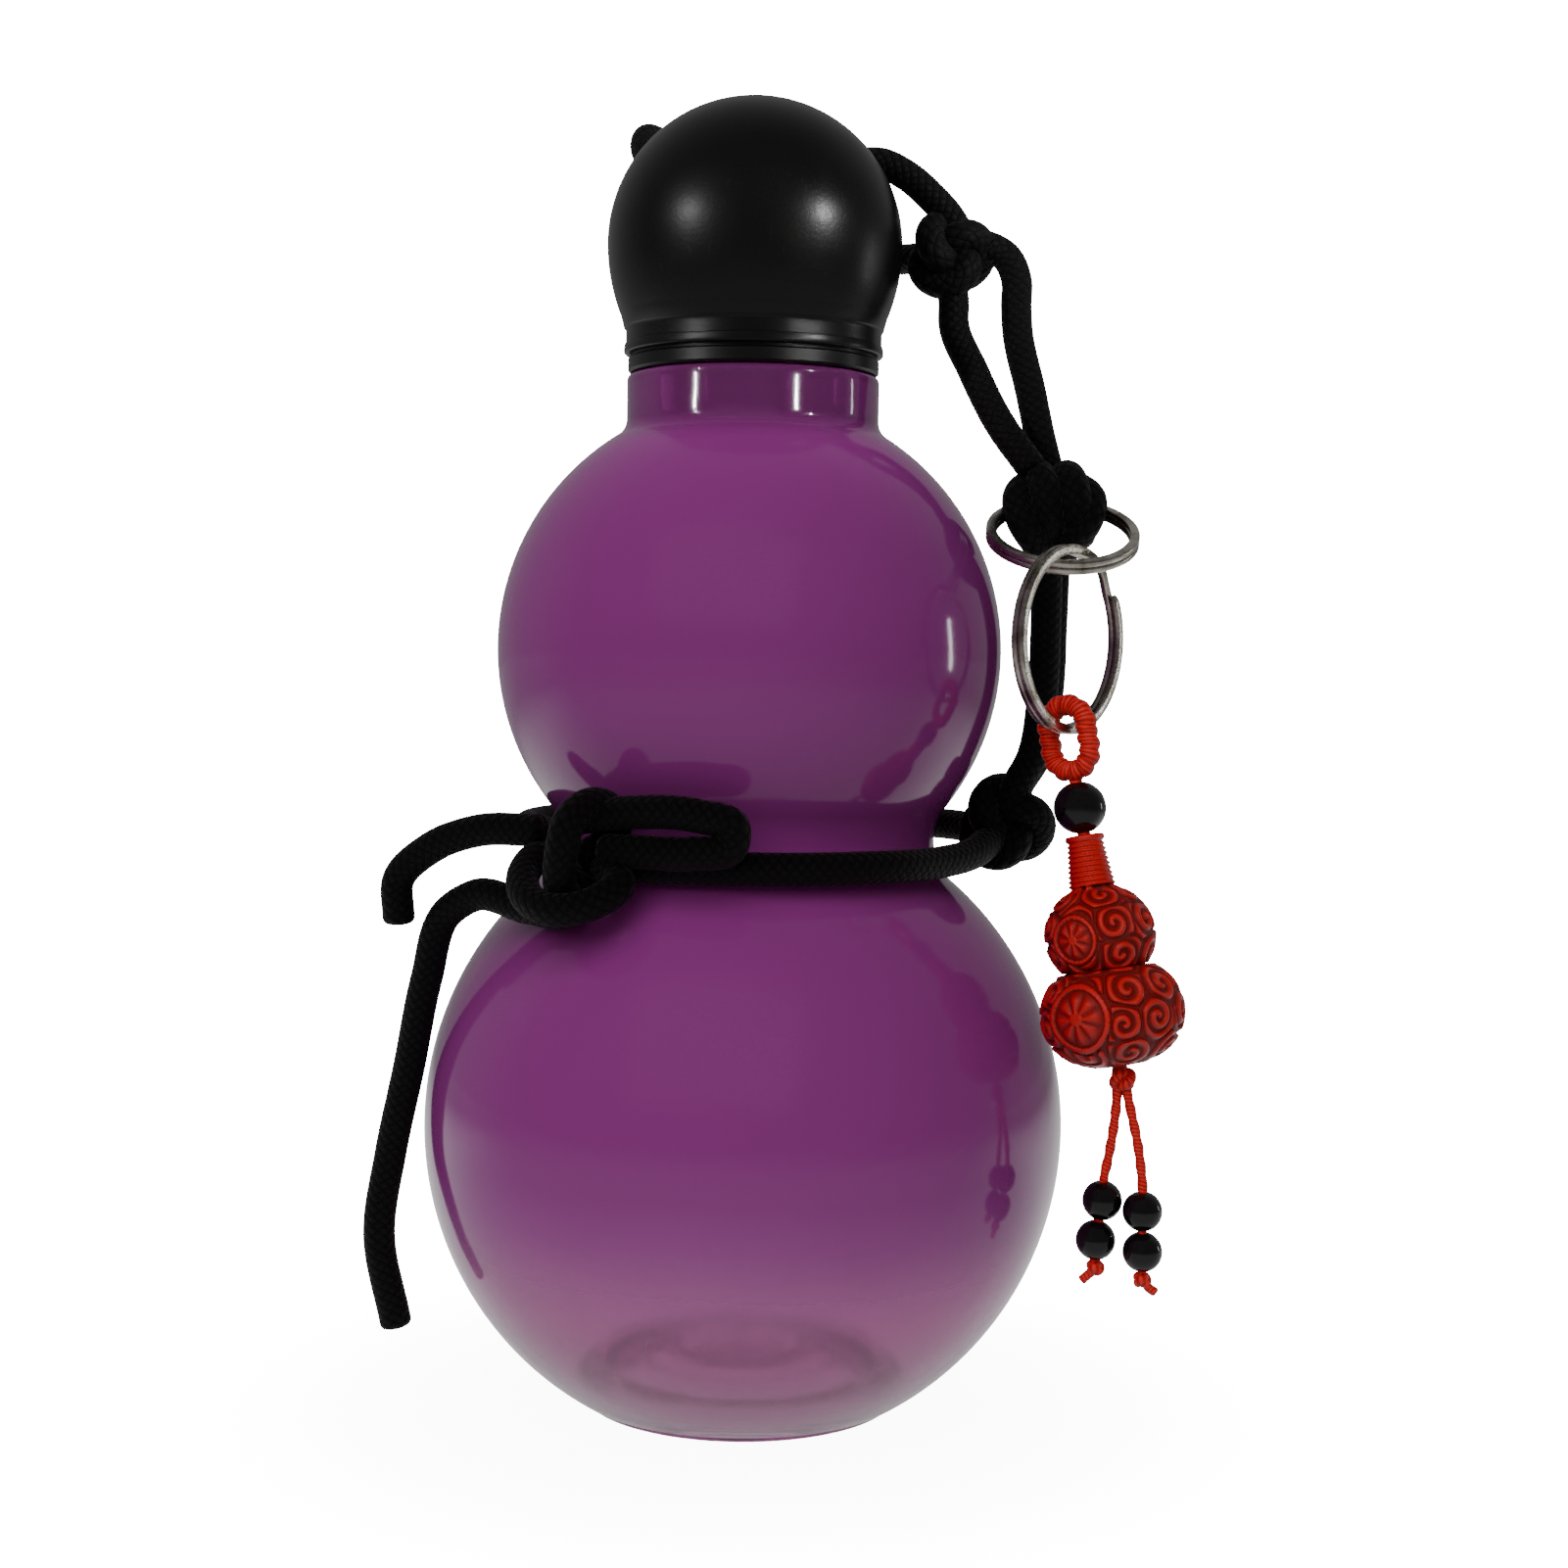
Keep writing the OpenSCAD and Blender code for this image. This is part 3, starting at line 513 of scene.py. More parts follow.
def moulded_black(name, dullness):
    """Black moulded plastic, satin, so lamps show as soft patches. The mould's grain is drawn at
    0.7 mm and the hairline handling marks at 0.4 by 5 mm, both coarser than real ones so that
    they show. The gloss is uneven over 18 mm, as handled plastic is."""
    material, tree, out = new_material(name)
    place = add(tree, "ShaderNodeTexCoord").outputs["Object"]
    grain = add(tree, "ShaderNodeTexNoise", {"Vector": place, "Scale": 1500, "Detail": 2})
    patch = add(tree, "ShaderNodeTexNoise", {"Vector": place, "Scale": 55, "Detail": 4})
    drawn = add(tree, "ShaderNodeMapping", {"Vector": place, "Scale": (1, 1, 0.08),
                "Rotation": (0.3, 0.2, 0)})
    hair = add(tree, "ShaderNodeTexNoise", {"Vector": drawn.outputs[0], "Scale": 2600, "Detail": 1})
    line_share = add(tree, "ShaderNodeMapRange", {"Value": hair.outputs["Fac"], "From Min": 0.66,
                     "From Max": 0.8, "To Max": 0.1})
    gloss = add(tree, "ShaderNodeMapRange", {"Value": patch.outputs["Fac"], "From Min": 0.3, "From Max": 0.7,
                "To Min": dullness - 0.05, "To Max": dullness + 0.07})
    rough = add(tree, "ShaderNodeMath", {0: gloss.outputs[0], 1: line_share.outputs[0]}, operation="ADD")
    relief = add(tree, "ShaderNodeBump", {"Height": grain.outputs["Fac"], "Strength": 0.08,
                 "Distance": 0.0002})
    shade = add(tree, "ShaderNodeValToRGB", {"Fac": patch.outputs["Fac"]})
    shade.color_ramp.elements[0].color = linear("#050505")
    shade.color_ramp.elements[1].color = linear("#0a0a09")
    body = add(tree, "ShaderNodeBsdfPrincipled", {
        "Base Color": shade.outputs[0], "Roughness": rough.outputs[0], "IOR": 1.46,
        "Specular IOR Level": 0.35, "Normal": relief.outputs[0]})
    tree.links.new(body.outputs[0], out.inputs["Surface"])
    return material


cap.data.materials.clear()
cap.data.materials.append(moulded_black("satin_black_plastic", dullness=0.31))
dress("cap_insert", moulded_black("insert_black_plastic", dullness=0.36))


# Cord. One length of round black braid, 5 mm thick. It is held at the cap by a knot beside the
# ball, drops in two strands to a hitch on the upper ring, runs on doubled to a knot at the side of
# the waist, goes round the waist both ways and is tied with one bow and two bare ends.
CORD = 5.0
HITCH = (48.6, -2, 144.5)


def smooth_route(points, step=0.5):
    """Points in mm a step apart on one smooth curve through the given points."""
    p = np.array(points, float)
    h = np.linalg.norm(np.diff(p, axis=0), axis=1)
    secant = np.diff(p, axis=0) / h[:, None]
    tangent = np.vstack([secant[:1], secant, secant[-1:]])
    weight = np.concatenate([h[:1], h, h[-1:]])[:, None]
    tangent = (tangent[:-1] * weight[1:] + tangent[1:] * weight[:-1]) / (weight[1:] + weight[:-1])
    t = np.linspace(0, 1, 40)[:-1, None]
    fine = [((2 * t ** 3 - 3 * t ** 2 + 1) * p[i] + (t ** 3 - 2 * t ** 2 + t) * h[i] * tangent[i]
             + (3 * t ** 2 - 2 * t ** 3) * p[i + 1] + (t ** 3 - t ** 2) * h[i] * tangent[i + 1])
            for i in range(len(h))]
    fine = np.vstack([*fine, p[-1:]])
    run = np.concatenate([[0], np.cumsum(np.linalg.norm(np.diff(fine, axis=0), axis=1))])
    at = np.linspace(0, run[-1], max(2, round(run[-1] / step)) + 1)
    return np.column_stack([np.interp(at, run, fine[:, k]) for k in range(3)])


def carried_frames(path):
    """The direction of a path at each point and two side vectors, turned as little as possible."""
    way = np.gradient(path, axis=0)
    way /= np.linalg.norm(way, axis=1)[:, None]
    side = np.zeros_like(way)
    last = np.array([0.31, 0.2, 0.93])
    for i, w in enumerate(way):
        last = last - w * (last @ w)
        last = last / np.linalg.norm(last)
        side[i] = last
    return way, side, np.cross(way, side)


END_SHAPE = ((1, 0.30), (0.94, 0.62), (0.74, 0.84), (0.4, 0.96))  # share of the end's length, of the radius
END_LENGTH = 0.45


def tube(name, path, diameter, material, sides=24, round_ends=True, relief=None):
    """A solid tube along points in mm. Its UVs are turns round it and mm along it.
    relief(along, round) in mm is added to the radius."""
    way, side, other = carried_frames(path)
    run = np.concatenate([[0], np.cumsum(np.linalg.norm(np.diff(path, axis=0), axis=1))])
    radius = diameter / 2
    ends = END_SHAPE if round_ends else ()
    rings = [(path[0] - way[0] * e * radius * END_LENGTH, 0, -e * radius * END_LENGTH, c) for e, c in ends]
    rings += [(path[i], i, run[i], 1) for i in range(len(path))]
    rings += [(path[-1] + way[-1] * e * radius * END_LENGTH, -1, run[-1] + e * radius * END_LENGTH, c)
              for e, c in ends[::-1]]
    angles = 2 * np.pi * np.arange(sides) / sides
    points = []
    for centre, i, along, share in rings:
        r = (radius + (relief(along, angles) if relief else 0)) * share
        points.append(centre + np.outer(np.cos(angles) * r, side[i])
                      + np.outer(np.sin(angles) * r, other[i]))
    points = np.vstack(points + [rings[0][0][None], rings[-1][0][None]])
    faces, uvs = [], []
    for i in range(len(rings) - 1):
        low, high = rings[i][2], rings[i + 1][2]
        for j in range(sides):
            k = (j + 1) % sides
            faces.append((i * sides + j, i * sides + k, (i + 1) * sides + k, (i + 1) * sides + j))
            uvs += [(j / sides, low), ((j + 1) / sides, low), ((j + 1) / sides, high), (j / sides, high)]
    last = (len(rings) - 1) * sides
    for j in range(sides):
        k = (j + 1) % sides
        faces.append((len(points) - 2, k, j))
        faces.append((len(points) - 1, last + j, last + k))
        uvs += [(0.5, rings[0][2])] * 3 + [(0.5, rings[-1][2])] * 3
    return place_mesh(name, points * MM, faces, uvs, [material])


def black_braid():
    """Black polyester braid: 16 strands of fine filaments that cross over and under each other,
    8 each way round the cord and 1.6 mm apart along it. They are dull, with a faint sheen, and
    their colour carries painted shade, darkest where they dive under each other. The fuzz on them
    is drawn 0.4 mm wide, coarser than real fuzz so that it shows."""
    material, tree, out = new_material("black_braid")
    uv = add(tree, "ShaderNodeSeparateXYZ", {0: add(tree, "ShaderNodeUVMap", uv_map="along").outputs[0]})
    turns = uv.outputs["X"]
    along = uv.outputs["Y"]
    strands_each_way = 8.0
    strands_a_mm = 0.62
    filaments = 5
    round_it = add(tree, "ShaderNodeMath", {0: turns, 1: strands_each_way}, operation="MULTIPLY").outputs[0]
    down_it = add(tree, "ShaderNodeMath", {0: along, 1: strands_a_mm}, operation="MULTIPLY").outputs[0]
    right = add(tree, "ShaderNodeMath", {0: round_it, 1: down_it}, operation="ADD").outputs[0]
    left = add(tree, "ShaderNodeMath", {0: round_it, 1: down_it}, operation="SUBTRACT").outputs[0]
    cells = [add(tree, "ShaderNodeMath", {0: phase}, operation="FLOOR").outputs[0]
             for phase in (right, left)]
    both = add(tree, "ShaderNodeMath", {0: cells[0], 1: cells[1]}, operation="ADD").outputs[0]
    over = add(tree, "ShaderNodeMath", {0: both, 1: 2.0}, operation="FLOORED_MODULO").outputs[0]
    waves = []
    for phase in (right, left):
        half = add(tree, "ShaderNodeMath", {0: phase, 1: math.pi}, operation="MULTIPLY").outputs[0]
        sine = add(tree, "ShaderNodeMath", {0: half}, operation="SINE").outputs[0]
        waves.append(add(tree, "ShaderNodeMath", {0: sine}, operation="ABSOLUTE").outputs[0])
    across, dive = [add(tree, "ShaderNodeMix", {"Factor": over, 2: waves[k], 3: waves[1 - k]},
                    data_type="FLOAT").outputs[0] for k in (0, 1)]
    dip = add(tree, "ShaderNodeMath", {0: dive, 1: 0.4}, operation="POWER").outputs[0]
    strand = add(tree, "ShaderNodeMath", {0: across, 1: dip}, operation="MULTIPLY").outputs[0]
    phase = add(tree, "ShaderNodeMix", {"Factor": over, 2: right, 3: left}, data_type="FLOAT").outputs[0]
    thread = add(tree, "ShaderNodeMath", {0: phase, 1: 2 * math.pi * filaments},
                 operation="MULTIPLY").outputs[0]
    thread = add(tree, "ShaderNodeMath", {0: thread}, operation="SINE").outputs[0]
    height = add(tree, "ShaderNodeMath", {0: thread, 1: 0.08, 2: strand},
                 operation="MULTIPLY_ADD").outputs[0]
    place = add(tree, "ShaderNodeTexCoord").outputs["Object"]
    fuzz = add(tree, "ShaderNodeTexNoise", {"Vector": place, "Scale": 2600, "Detail": 2})
    relief = add(tree, "ShaderNodeBump", {"Height": height, "Strength": 0.55, "Distance": 0.0004})
    # Painted shade: the colour is darkest where the strands dive under each other and lightest on their
    # crests.
    shade = add(tree, "ShaderNodeValToRGB", {"Fac": height})
    shade.color_ramp.elements[0].color = linear("#020202")
    shade.color_ramp.elements[1].color = linear("#0b090a")
    worn = add(tree, "ShaderNodeMapRange", {"Value": fuzz.outputs["Fac"], "To Min": 0.5, "To Max": 0.8})
    body = add(tree, "ShaderNodeBsdfPrincipled", {
        "Base Color": shade.outputs[0], "Roughness": worn.outputs[0], "Sheen Weight": 0.03,
        "Sheen Roughness": 0.4, "Specular IOR Level": 0.2, "Normal": relief.outputs[0]})
    tree.links.new(body.outputs[0], out.inputs["Surface"])
    return material


braid = black_braid()


def measured(path):
    """Every sixth point of a path in mm and its last one, in metres."""
    return path[[*range(0, len(path) - 1, 6), len(path) - 1]] * MM


def braided(name, route, body, node_names):
    """A stretch of the cord along a route in mm, which rides on a body for its CAD nodes."""
    path = smooth_route(route)
    made = tube(name, path, CORD, braid)
    if body:
        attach(made, body)
    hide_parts(*node_names)
    return made, measured(path)


def knot_route(centre, turn, points):
    """A knot's route about its own middle, turned and moved to its place, in mm."""
    place = Euler([math.radians(a) for a in turn]).to_matrix()
    return [list(place @ Vector(p) + Vector(centre)) for p in points]


def overhand(wide, deep):
    """The closed line of an overhand knot pulled tight, three lobes round a middle."""
    route = []
    for t in np.linspace(0, 2 * math.pi, 61):
        reach = wide + wide * 0.5 * math.cos(3 * t)
        route.append((reach * math.cos(2 * t), reach * math.sin(2 * t), deep * math.sin(3 * t)))
    return route


def coil(radius, pitch, turns, start):
    """Wraps side by side round the Z axis, whose ends go in to the middle."""
    a_turn = 16
    wraps = []
    for i in range(round(turns * a_turn) + 1):
        angle = start + 2 * math.pi * i / a_turn
        wraps.append((radius * math.cos(angle), radius * math.sin(angle), pitch * (i / a_turn - turns / 2)))
    return [(0, 0, wraps[0][2] * 0.8), *wraps, (0, 0, wraps[-1][2] * 0.8)]


cap_knot, _ = braided("cap_knot_tied", knot_route((31.6, 3, 184.8), (90, 0, 12), overhand(3.4, 2.7)),
                      "cap", ["cap_knot"])
cap_cord, path = braided("cap_cord", [
    [33, 2.4, 188], [31.4, 3.1, 190.8], [28.3, 3.9, 194.4], [24.5, 4.8, 197.8], [20.5, 5.6, 199.9],
    [16, 6.25, 200], [2, 8.2, 200], [-14.5, 10.5, 200], [-18, 12, 202.2], [-18.2, 14.8, 205],
    [-15.5, 19.5, 205], [-9, 25, 200.5], [0, 27.4, 195], [10, 25.5, 190], [20, 18.5, 186.5], [28.5, 7, 185]],
    "cap", ["cap_loop"])

ring_wraps, _ = braided("ring_hitch_wraps", knot_route(HITCH, (0, 90, 0), coil(4.7, 4.7, 1.9, 1.2)),
                        "bottle", ["ring_hitch"])
ring_hitch, _ = braided("ring_hitch_crown", [
    [47.2, -3, 136.5], [45, -5.2, 138.6], [42.8, -6.4, 141.6], [42.2, -5, 145], [44.2, -1.4, 147.4],
    [48.2, 0.8, 148], [52, -1.4, 147.4], [54, -5, 144.8], [53, -6.4, 141.4], [50.8, -4.6, 138.4],
    [49.6, -1, 136.5]], "bottle", ["ring_hitch"])
outer_strand, path = braided("outer_strand", [
    [34.5, 3, 186.8], [37, 3, 186.5], [40.6, 2.8, 184.6], [42.3, 2.6, 180.8], [42.3, 2.6, 176.9],
    [42.6, 2.6, 172.5], [44.8, 2.3, 163], [46.3, 1.9, 156], [47.6, 1.2, 150.6]],
    None, ["strand_top", "strand_outer"])
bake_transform(outer_strand)
inner_strand, path = braided("inner_strand", [
    [31.8, 2.7, 180.5], [32.2, 2.6, 176.9], [32.2, 2.6, 174], [35.4, 1.4, 166], [39.8, -1.2, 157],
    [44.2, -3.6, 150.6]], None, ["strand_inner"])
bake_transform(inner_strand)

side_knot, _ = braided("side_knot_tied", knot_route((41.6, 0, 93.2), (90, 15, 0), overhand(3.8, 3.0)),
                       "bottle", ["side_knot"])
riser_front, path = braided("riser_front_cord", [
    [47.4, -2.2, 140.5], [47.4, -2.2, 138], [47.4, -2, 126], [47, -1.9, 114], [45.4, -2.3, 104],
    [42.4, -2.6, 98], [41.8, -2, 95]], "bottle", ["riser_front"])
riser_back, path = braided("riser_back_cord", [
    [49.4, 2.6, 141.5], [49.4, 3.2, 139.6], [49.1, 3.8, 126], [48.6, 3.7, 114], [46.8, 3.3, 104],
    [43.4, 2.8, 98], [42.6, 2.2, 95]], "bottle", ["riser_back"])

waist_knot, _ = braided("waist_knot_tied", knot_route((-27.2, -26.8, 90), (0, 0, -45), [
    (4, 0, -1), (6.5, 4, 3), (7, 2.5, 6.3), (7.6, -2, 7.4), (8, -6.2, 5.2), (7.8, -7.6, 0.5),
    (6.8, -7, -3.6), (4.5, -3, -7.2), (0.5, 1.2, -6.8), (-3.2, 2.5, -3), (-3.4, -2.6, -1.2),
    (-1.5, -7, -3.6), (3, -9.4, -6.6), (8, -8.6, -7.8), (12.2, -5, -6.6), (12.5, -0.5, -4.2),
    (8, 1, -2)]), "bottle", ["waist_knot"])
waist_front, path = braided("waist_front_cord", [
    [39.8, -2.4, 91.2], [38.6, -4, 90.6], [36, -9, 89.2], [29.7, -17.8, 88.2], [20.3, -28, 88.2],
    [7.8, -33.7, 88.2], [-6, -34.1, 88.2], [-18.3, -29.3, 88.2], [-23.4, -25.4, 88.6]],
    "bottle", ["waist_front"])
waist_back, path = braided("waist_back_cord", [
    [39.8, 2.4, 91.8], [38.6, 4, 91.6], [36, 9, 92], [28.6, 20, 92], [16.4, 30.8, 92], [0.6, 34.9, 92],
    [-15.3, 31.4, 92], [-27.9, 21, 92], [-34.4, 6.1, 92], [-33.4, -10.2, 92], [-27.8, -19.8, 91.6]],
    "bottle", ["waist_back"])
bow, path = braided("bow_cord", [
    [-24.6, -30.2, 95.2], [-17, -35.4, 96.4], [-7, -39, 96.2], [-2, -39.7, 94.6], [-2.2, -39.7, 92],
    [-8, -38.7, 90.7], [-15, -36.1, 90.6], [-20.6, -33.2, 90.6]], "bottle", ["bow_loop"])
short_tail, path = braided("short_tail_cord", [
    [-31.6, -24, 92.8], [-41, -20.5, 92.4], [-48.6, -17.7, 89.4], [-53.8, -15.8, 84.2],
    [-53.7, -15.4, 78.5]], "bottle", ["tail_short"])
long_tail, path = braided("long_tail_cord", [
    [-24.4, -31.4, 86], [-26, -31, 81.8], [-32.6, -25.6, 81.2], [-41.5, -19.6, 82.4],
    [-46, -17.4, 79.4], [-49.3, -15.4, 69], [-52.2, -12.6, 55], [-55.2, -10.8, 41],
    [-56.9, -10.6, 28], [-54.2, -10.6, 14.5]], "bottle", ["tail_long"])


# Rings. Two split rings of flat nickel-plated spring wire, each two turns lying on each other.
# The upper one is held by the hitch, and the lower one hangs in it.
UPPER_RING_D = 24
LOWER_RING_D = 29
WIRE_W = 1.6
WIRE_T = 1.1
RING_SLOPE = math.radians(28.5)
LOWER_RING_TURN = math.radians(50.6)
RING_CROSS = 2.7
upper_r = (UPPER_RING_D - WIRE_W) / 2
lower_r = (LOWER_RING_D - WIRE_W) / 2
down_slope = Vector((0, -math.cos(RING_SLOPE), -math.sin(RING_SLOPE)))
upper_centre = Vector(HITCH) + down_slope * upper_r
lower_centre = Vector(HITCH) + down_slope * 2 * upper_r + Vector((0, 0, RING_CROSS - lower_r))
lower_low = lower_centre - Vector((0, 0, lower_r))


def nickel():
    """Nickel plate on spring wire: bright metal, streaked by fine brushed lines 1 mm long along the
    wire, with faint spots of tarnish 3 mm wide."""
    material, tree, out = new_material("nickel_plate")
    uv = add(tree, "ShaderNodeUVMap", uv_map="along").outputs[0]
    stretched = add(tree, "ShaderNodeMapping", {0: uv, "Scale": (60, 0.35, 1)})
    brushed = add(tree, "ShaderNodeTexNoise", {"Vector": stretched.outputs[0], "Scale": 3, "Detail": 3})
    place = add(tree, "ShaderNodeTexCoord").outputs["Object"]
    stain = add(tree, "ShaderNodeTexNoise", {"Vector": place, "Scale": 320, "Detail": 4})
    rough = add(tree, "ShaderNodeMath", {0: brushed.outputs["Fac"], 1: 0.28, 2: 0.1},
                operation="MULTIPLY_ADD")
    shade = add(tree, "ShaderNodeValToRGB", {"Fac": stain.outputs["Fac"]})
    shade.color_ramp.elements[0].color = linear("#8f8778")
    shade.color_ramp.elements[0].position = 0.3
    shade.color_ramp.elements[1].color = linear("#d3cec4")
    shade.color_ramp.elements[1].position = 0.6
    lines = add(tree, "ShaderNodeBump", {"Height": brushed.outputs["Fac"], "Strength": 0.15,
                "Distance": 0.0001})
    body = add(tree, "ShaderNodeBsdfPrincipled", {
        "Base Color": shade.outputs[0], "Metallic": 1.0, "Roughness": rough.outputs[0],
        "Normal": lines.outputs[0]})
    tree.links.new(body.outputs[0], out.inputs["Surface"])
    return material


def split_ring(name, middle, place, material, first):
    """Two turns of a rounded flat wire on a middle radius, from an angle in degrees on. They cross
    over where they would meet, and end 30 degrees short of two full turns."""
    step = 2.5
    wound = 690
    cross_from = 330
    cross_over = 30
    wide = WIRE_W / 2
    thick = WIRE_T / 2
    section = [(wide * math.copysign(abs(math.cos(a)) ** 0.4, math.cos(a)),
                thick * 0.97 * math.copysign(abs(math.sin(a)) ** 0.5, math.sin(a)))
               for a in np.linspace(0, 2 * math.pi, 21)[:-1]]
    angles = np.arange(first, first + wound + 1, step)
    points, faces, uvs = [], [], []
    for angle in angles:
        passed = min(1, max(0, (angle - first - cross_from) / cross_over))
        lift = thick * (2 * (3 * passed ** 2 - 2 * passed ** 3) - 1)
        near_end = min(angle - angles[0], angles[-1] - angle) / step
        share = (0.55, 0.85)[int(near_end)] if near_end < 2 else 1
        a = math.radians(angle)
        points += [((middle + x * share) * math.cos(a), (middle + x * share) * math.sin(a), lift + y * share)
                   for x, y in section]
    n = len(section)
    for i in range(len(angles) - 1):
        for j in range(n):
            k = (j + 1) % n
            faces.append((i * n + j, i * n + k, i * n + n + k, i * n + n + j))
            low = math.radians(angles[i]) * middle
            high = math.radians(angles[i + 1]) * middle
            uvs += [(j / n, low), ((j + 1) / n, low), ((j + 1) / n, high), (j / n, high)]
    last = (len(angles) - 1) * n
    faces += [tuple(range(n))[::-1], tuple(range(last, last + n))]
    uvs += [(0.5, 0)] * (2 * n)
    made = place_mesh(name, np.array(points) * MM, faces, uvs, [material], sharp=60)
    made.data.transform(place)
    return made


plated = nickel()
upper_place = Matrix.Translation(upper_centre * MM) @ Matrix.Rotation(RING_SLOPE, 4, "X")
upper_ring = split_ring("upper_ring_coil", upper_r, upper_place, plated, first=100)
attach(upper_ring, "upper_ring")
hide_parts("split_ring_upper")
lower_place = (Matrix.Translation(lower_centre * MM) @ Matrix.Rotation(LOWER_RING_TURN, 4, "Z")
               @ Matrix.Rotation(math.radians(90), 4, "X"))
lower_ring = split_ring("lower_ring_coil", lower_r, lower_place, plated, first=60)
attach(lower_ring, "lower_ring")
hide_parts("split_ring_lower")


# Charm. A loop wound with red thread hangs on the lower ring. Below it come a round black bead, a
# carved red gourd bead with a ribbed neck, a knot and two threads with black beads.
CHARM_TURN = -39.4
CHARM_LEAN = -11.6
CHARM = (Matrix.Translation(lower_low * MM) @ Matrix.Rotation(math.radians(CHARM_TURN), 4, "Z")
         @ Matrix.Rotation(math.radians(CHARM_LEAN), 4, "Y"))
LOOP_W = 9.6
LOOP_D = 2.8
LOOP_L = 12.4
BEAD_D = 8
STRING_D = 2
GAP = 0.2
GOURD_L = 35
LOOP_TOP = LOOP_W / 2 - 0.3
LOOP_LOW = LOOP_TOP - LOOP_L
BEAD_MIDDLE = LOOP_LOW - GAP - BEAD_D / 2
GOURD_TOP = BEAD_MIDDLE - BEAD_D / 2 - GAP
GOURD_LOW = GOURD_TOP - GOURD_L


def red_thread():
    """Red polyester thread with a soft sheen. Its lay is drawn 0.6 mm apart and its fuzz 0.7 mm
    wide, both coarser than real ones so that they show. Its red is darker in the grooves of the
    lay, which is painted shade, and speckled at random by the fuzz."""
    material, tree, out = new_material("red_thread")
    uv = add(tree, "ShaderNodeUVMap", uv_map="along").outputs[0]
    lay = add(tree, "ShaderNodeTexWave", {"Vector": uv, "Scale": 1.1, "Distortion": 1.5, "Detail": 2},
              bands_direction="DIAGONAL")
    place = add(tree, "ShaderNodeTexCoord").outputs["Object"]
    fibre = add(tree, "ShaderNodeTexNoise", {"Vector": place, "Scale": 1400, "Detail": 3})
    mixed = add(tree, "ShaderNodeMath", {0: fibre.outputs["Fac"], 1: 0.5, 2: lay.outputs["Fac"]},
                operation="MULTIPLY_ADD")
    # Painted shade: the red darkens in the grooves of the lay, where the relief is low; the fibre noise adds
    # random tone.
    shade = add(tree, "ShaderNodeValToRGB", {"Fac": mixed.outputs[0]})
    shade.color_ramp.elements[0].color = linear("#8a0a06")
    shade.color_ramp.elements[0].position = 0.2
    shade.color_ramp.elements[1].color = linear("#dc170e")
    shade.color_ramp.elements[1].position = 1.0
    rough = add(tree, "ShaderNodeMapRange", {"Value": fibre.outputs["Fac"], "To Min": 0.4, "To Max": 0.65})
    relief = add(tree, "ShaderNodeBump", {"Height": mixed.outputs[0], "Strength": 0.3, "Distance": 0.0002})
    body = add(tree, "ShaderNodeBsdfPrincipled", {
        "Base Color": shade.outputs[0], "Roughness": rough.outputs[0], "Sheen Weight": 0.15,
        "Sheen Roughness": 0.4, "Normal": relief.outputs[0]})
    tree.links.new(body.outputs[0], out.inputs["Surface"])
    return material


thread_red = red_thread()


def on_charm(made, nodes, body="charm"):
    """Puts a piece that is made about the charm's own axis in its place."""
    made.data.transform(CHARM)
    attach(made, body)
    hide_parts(*nodes)
    return made


bend = (LOOP_W - LOOP_D) / 2
top_bend_z = LOOP_TOP + 0.6 - LOOP_W / 2
low_bend_z = LOOP_LOW + LOOP_W / 2
loop_line = [(bend * math.cos(a), 0, top_bend_z + bend * math.sin(a))
             for a in np.linspace(-0.2, math.pi + 0.2, 14)]
loop_line += [(bend * math.cos(a), 0, low_bend_z + bend * math.sin(a))
              for a in np.linspace(math.pi - 0.1, 2 * math.pi + 0.1, 13)]
loop_line.append(loop_line[0])


def wound_thread(along, turn):
    """Height in mm of the thread's turns, which lie 1.9 mm apart and lean along the loop."""
    return 0.1 + 0.42 * np.abs(np.sin(np.pi * along / 1.9 + turn / 2)) ** 0.7


on_charm(tube("charm_loop_wound", smooth_route(loop_line, 0.16), LOOP_D - 0.4, thread_red, sides=40,
              round_ends=False, relief=wound_thread), ["charm_loop"])
string_top = LOOP_LOW + 1.4
charm_string_path = [(0, 0, string_top - i * (string_top - GOURD_LOW + 0.6) / 20) for i in range(21)]
charm_string = on_charm(tube("charm_string", smooth_route(charm_string_path), STRING_D, thread_red,
                             sides=16), ["charm_cord"])


def black_gloss():
    """Polished black glass: sharp reflections, dulled a little in spots drawn 1.1 mm wide."""
    material, tree, out = new_material("black_gloss")
    place = add(tree, "ShaderNodeTexCoord").outputs["Object"]
    dust = add(tree, "ShaderNodeTexNoise", {"Vector": place, "Scale": 900, "Detail": 3})
    rough = add(tree, "ShaderNodeMapRange", {"Value": dust.outputs["Fac"], "From Min": 0.4, "From Max": 0.7,
                "To Min": 0.08, "To Max": 0.2})
    shade = add(tree, "ShaderNodeValToRGB", {"Fac": dust.outputs["Fac"]})
    shade.color_ramp.elements[0].color = linear("#060505")
    shade.color_ramp.elements[1].color = linear("#141010")
    body = add(tree, "ShaderNodeBsdfPrincipled", {
        "Base Color": shade.outputs[0], "Roughness": rough.outputs[0], "IOR": 1.5})
    tree.links.new(body.outputs[0], out.inputs["Surface"])
    return material


gloss_black = black_gloss()


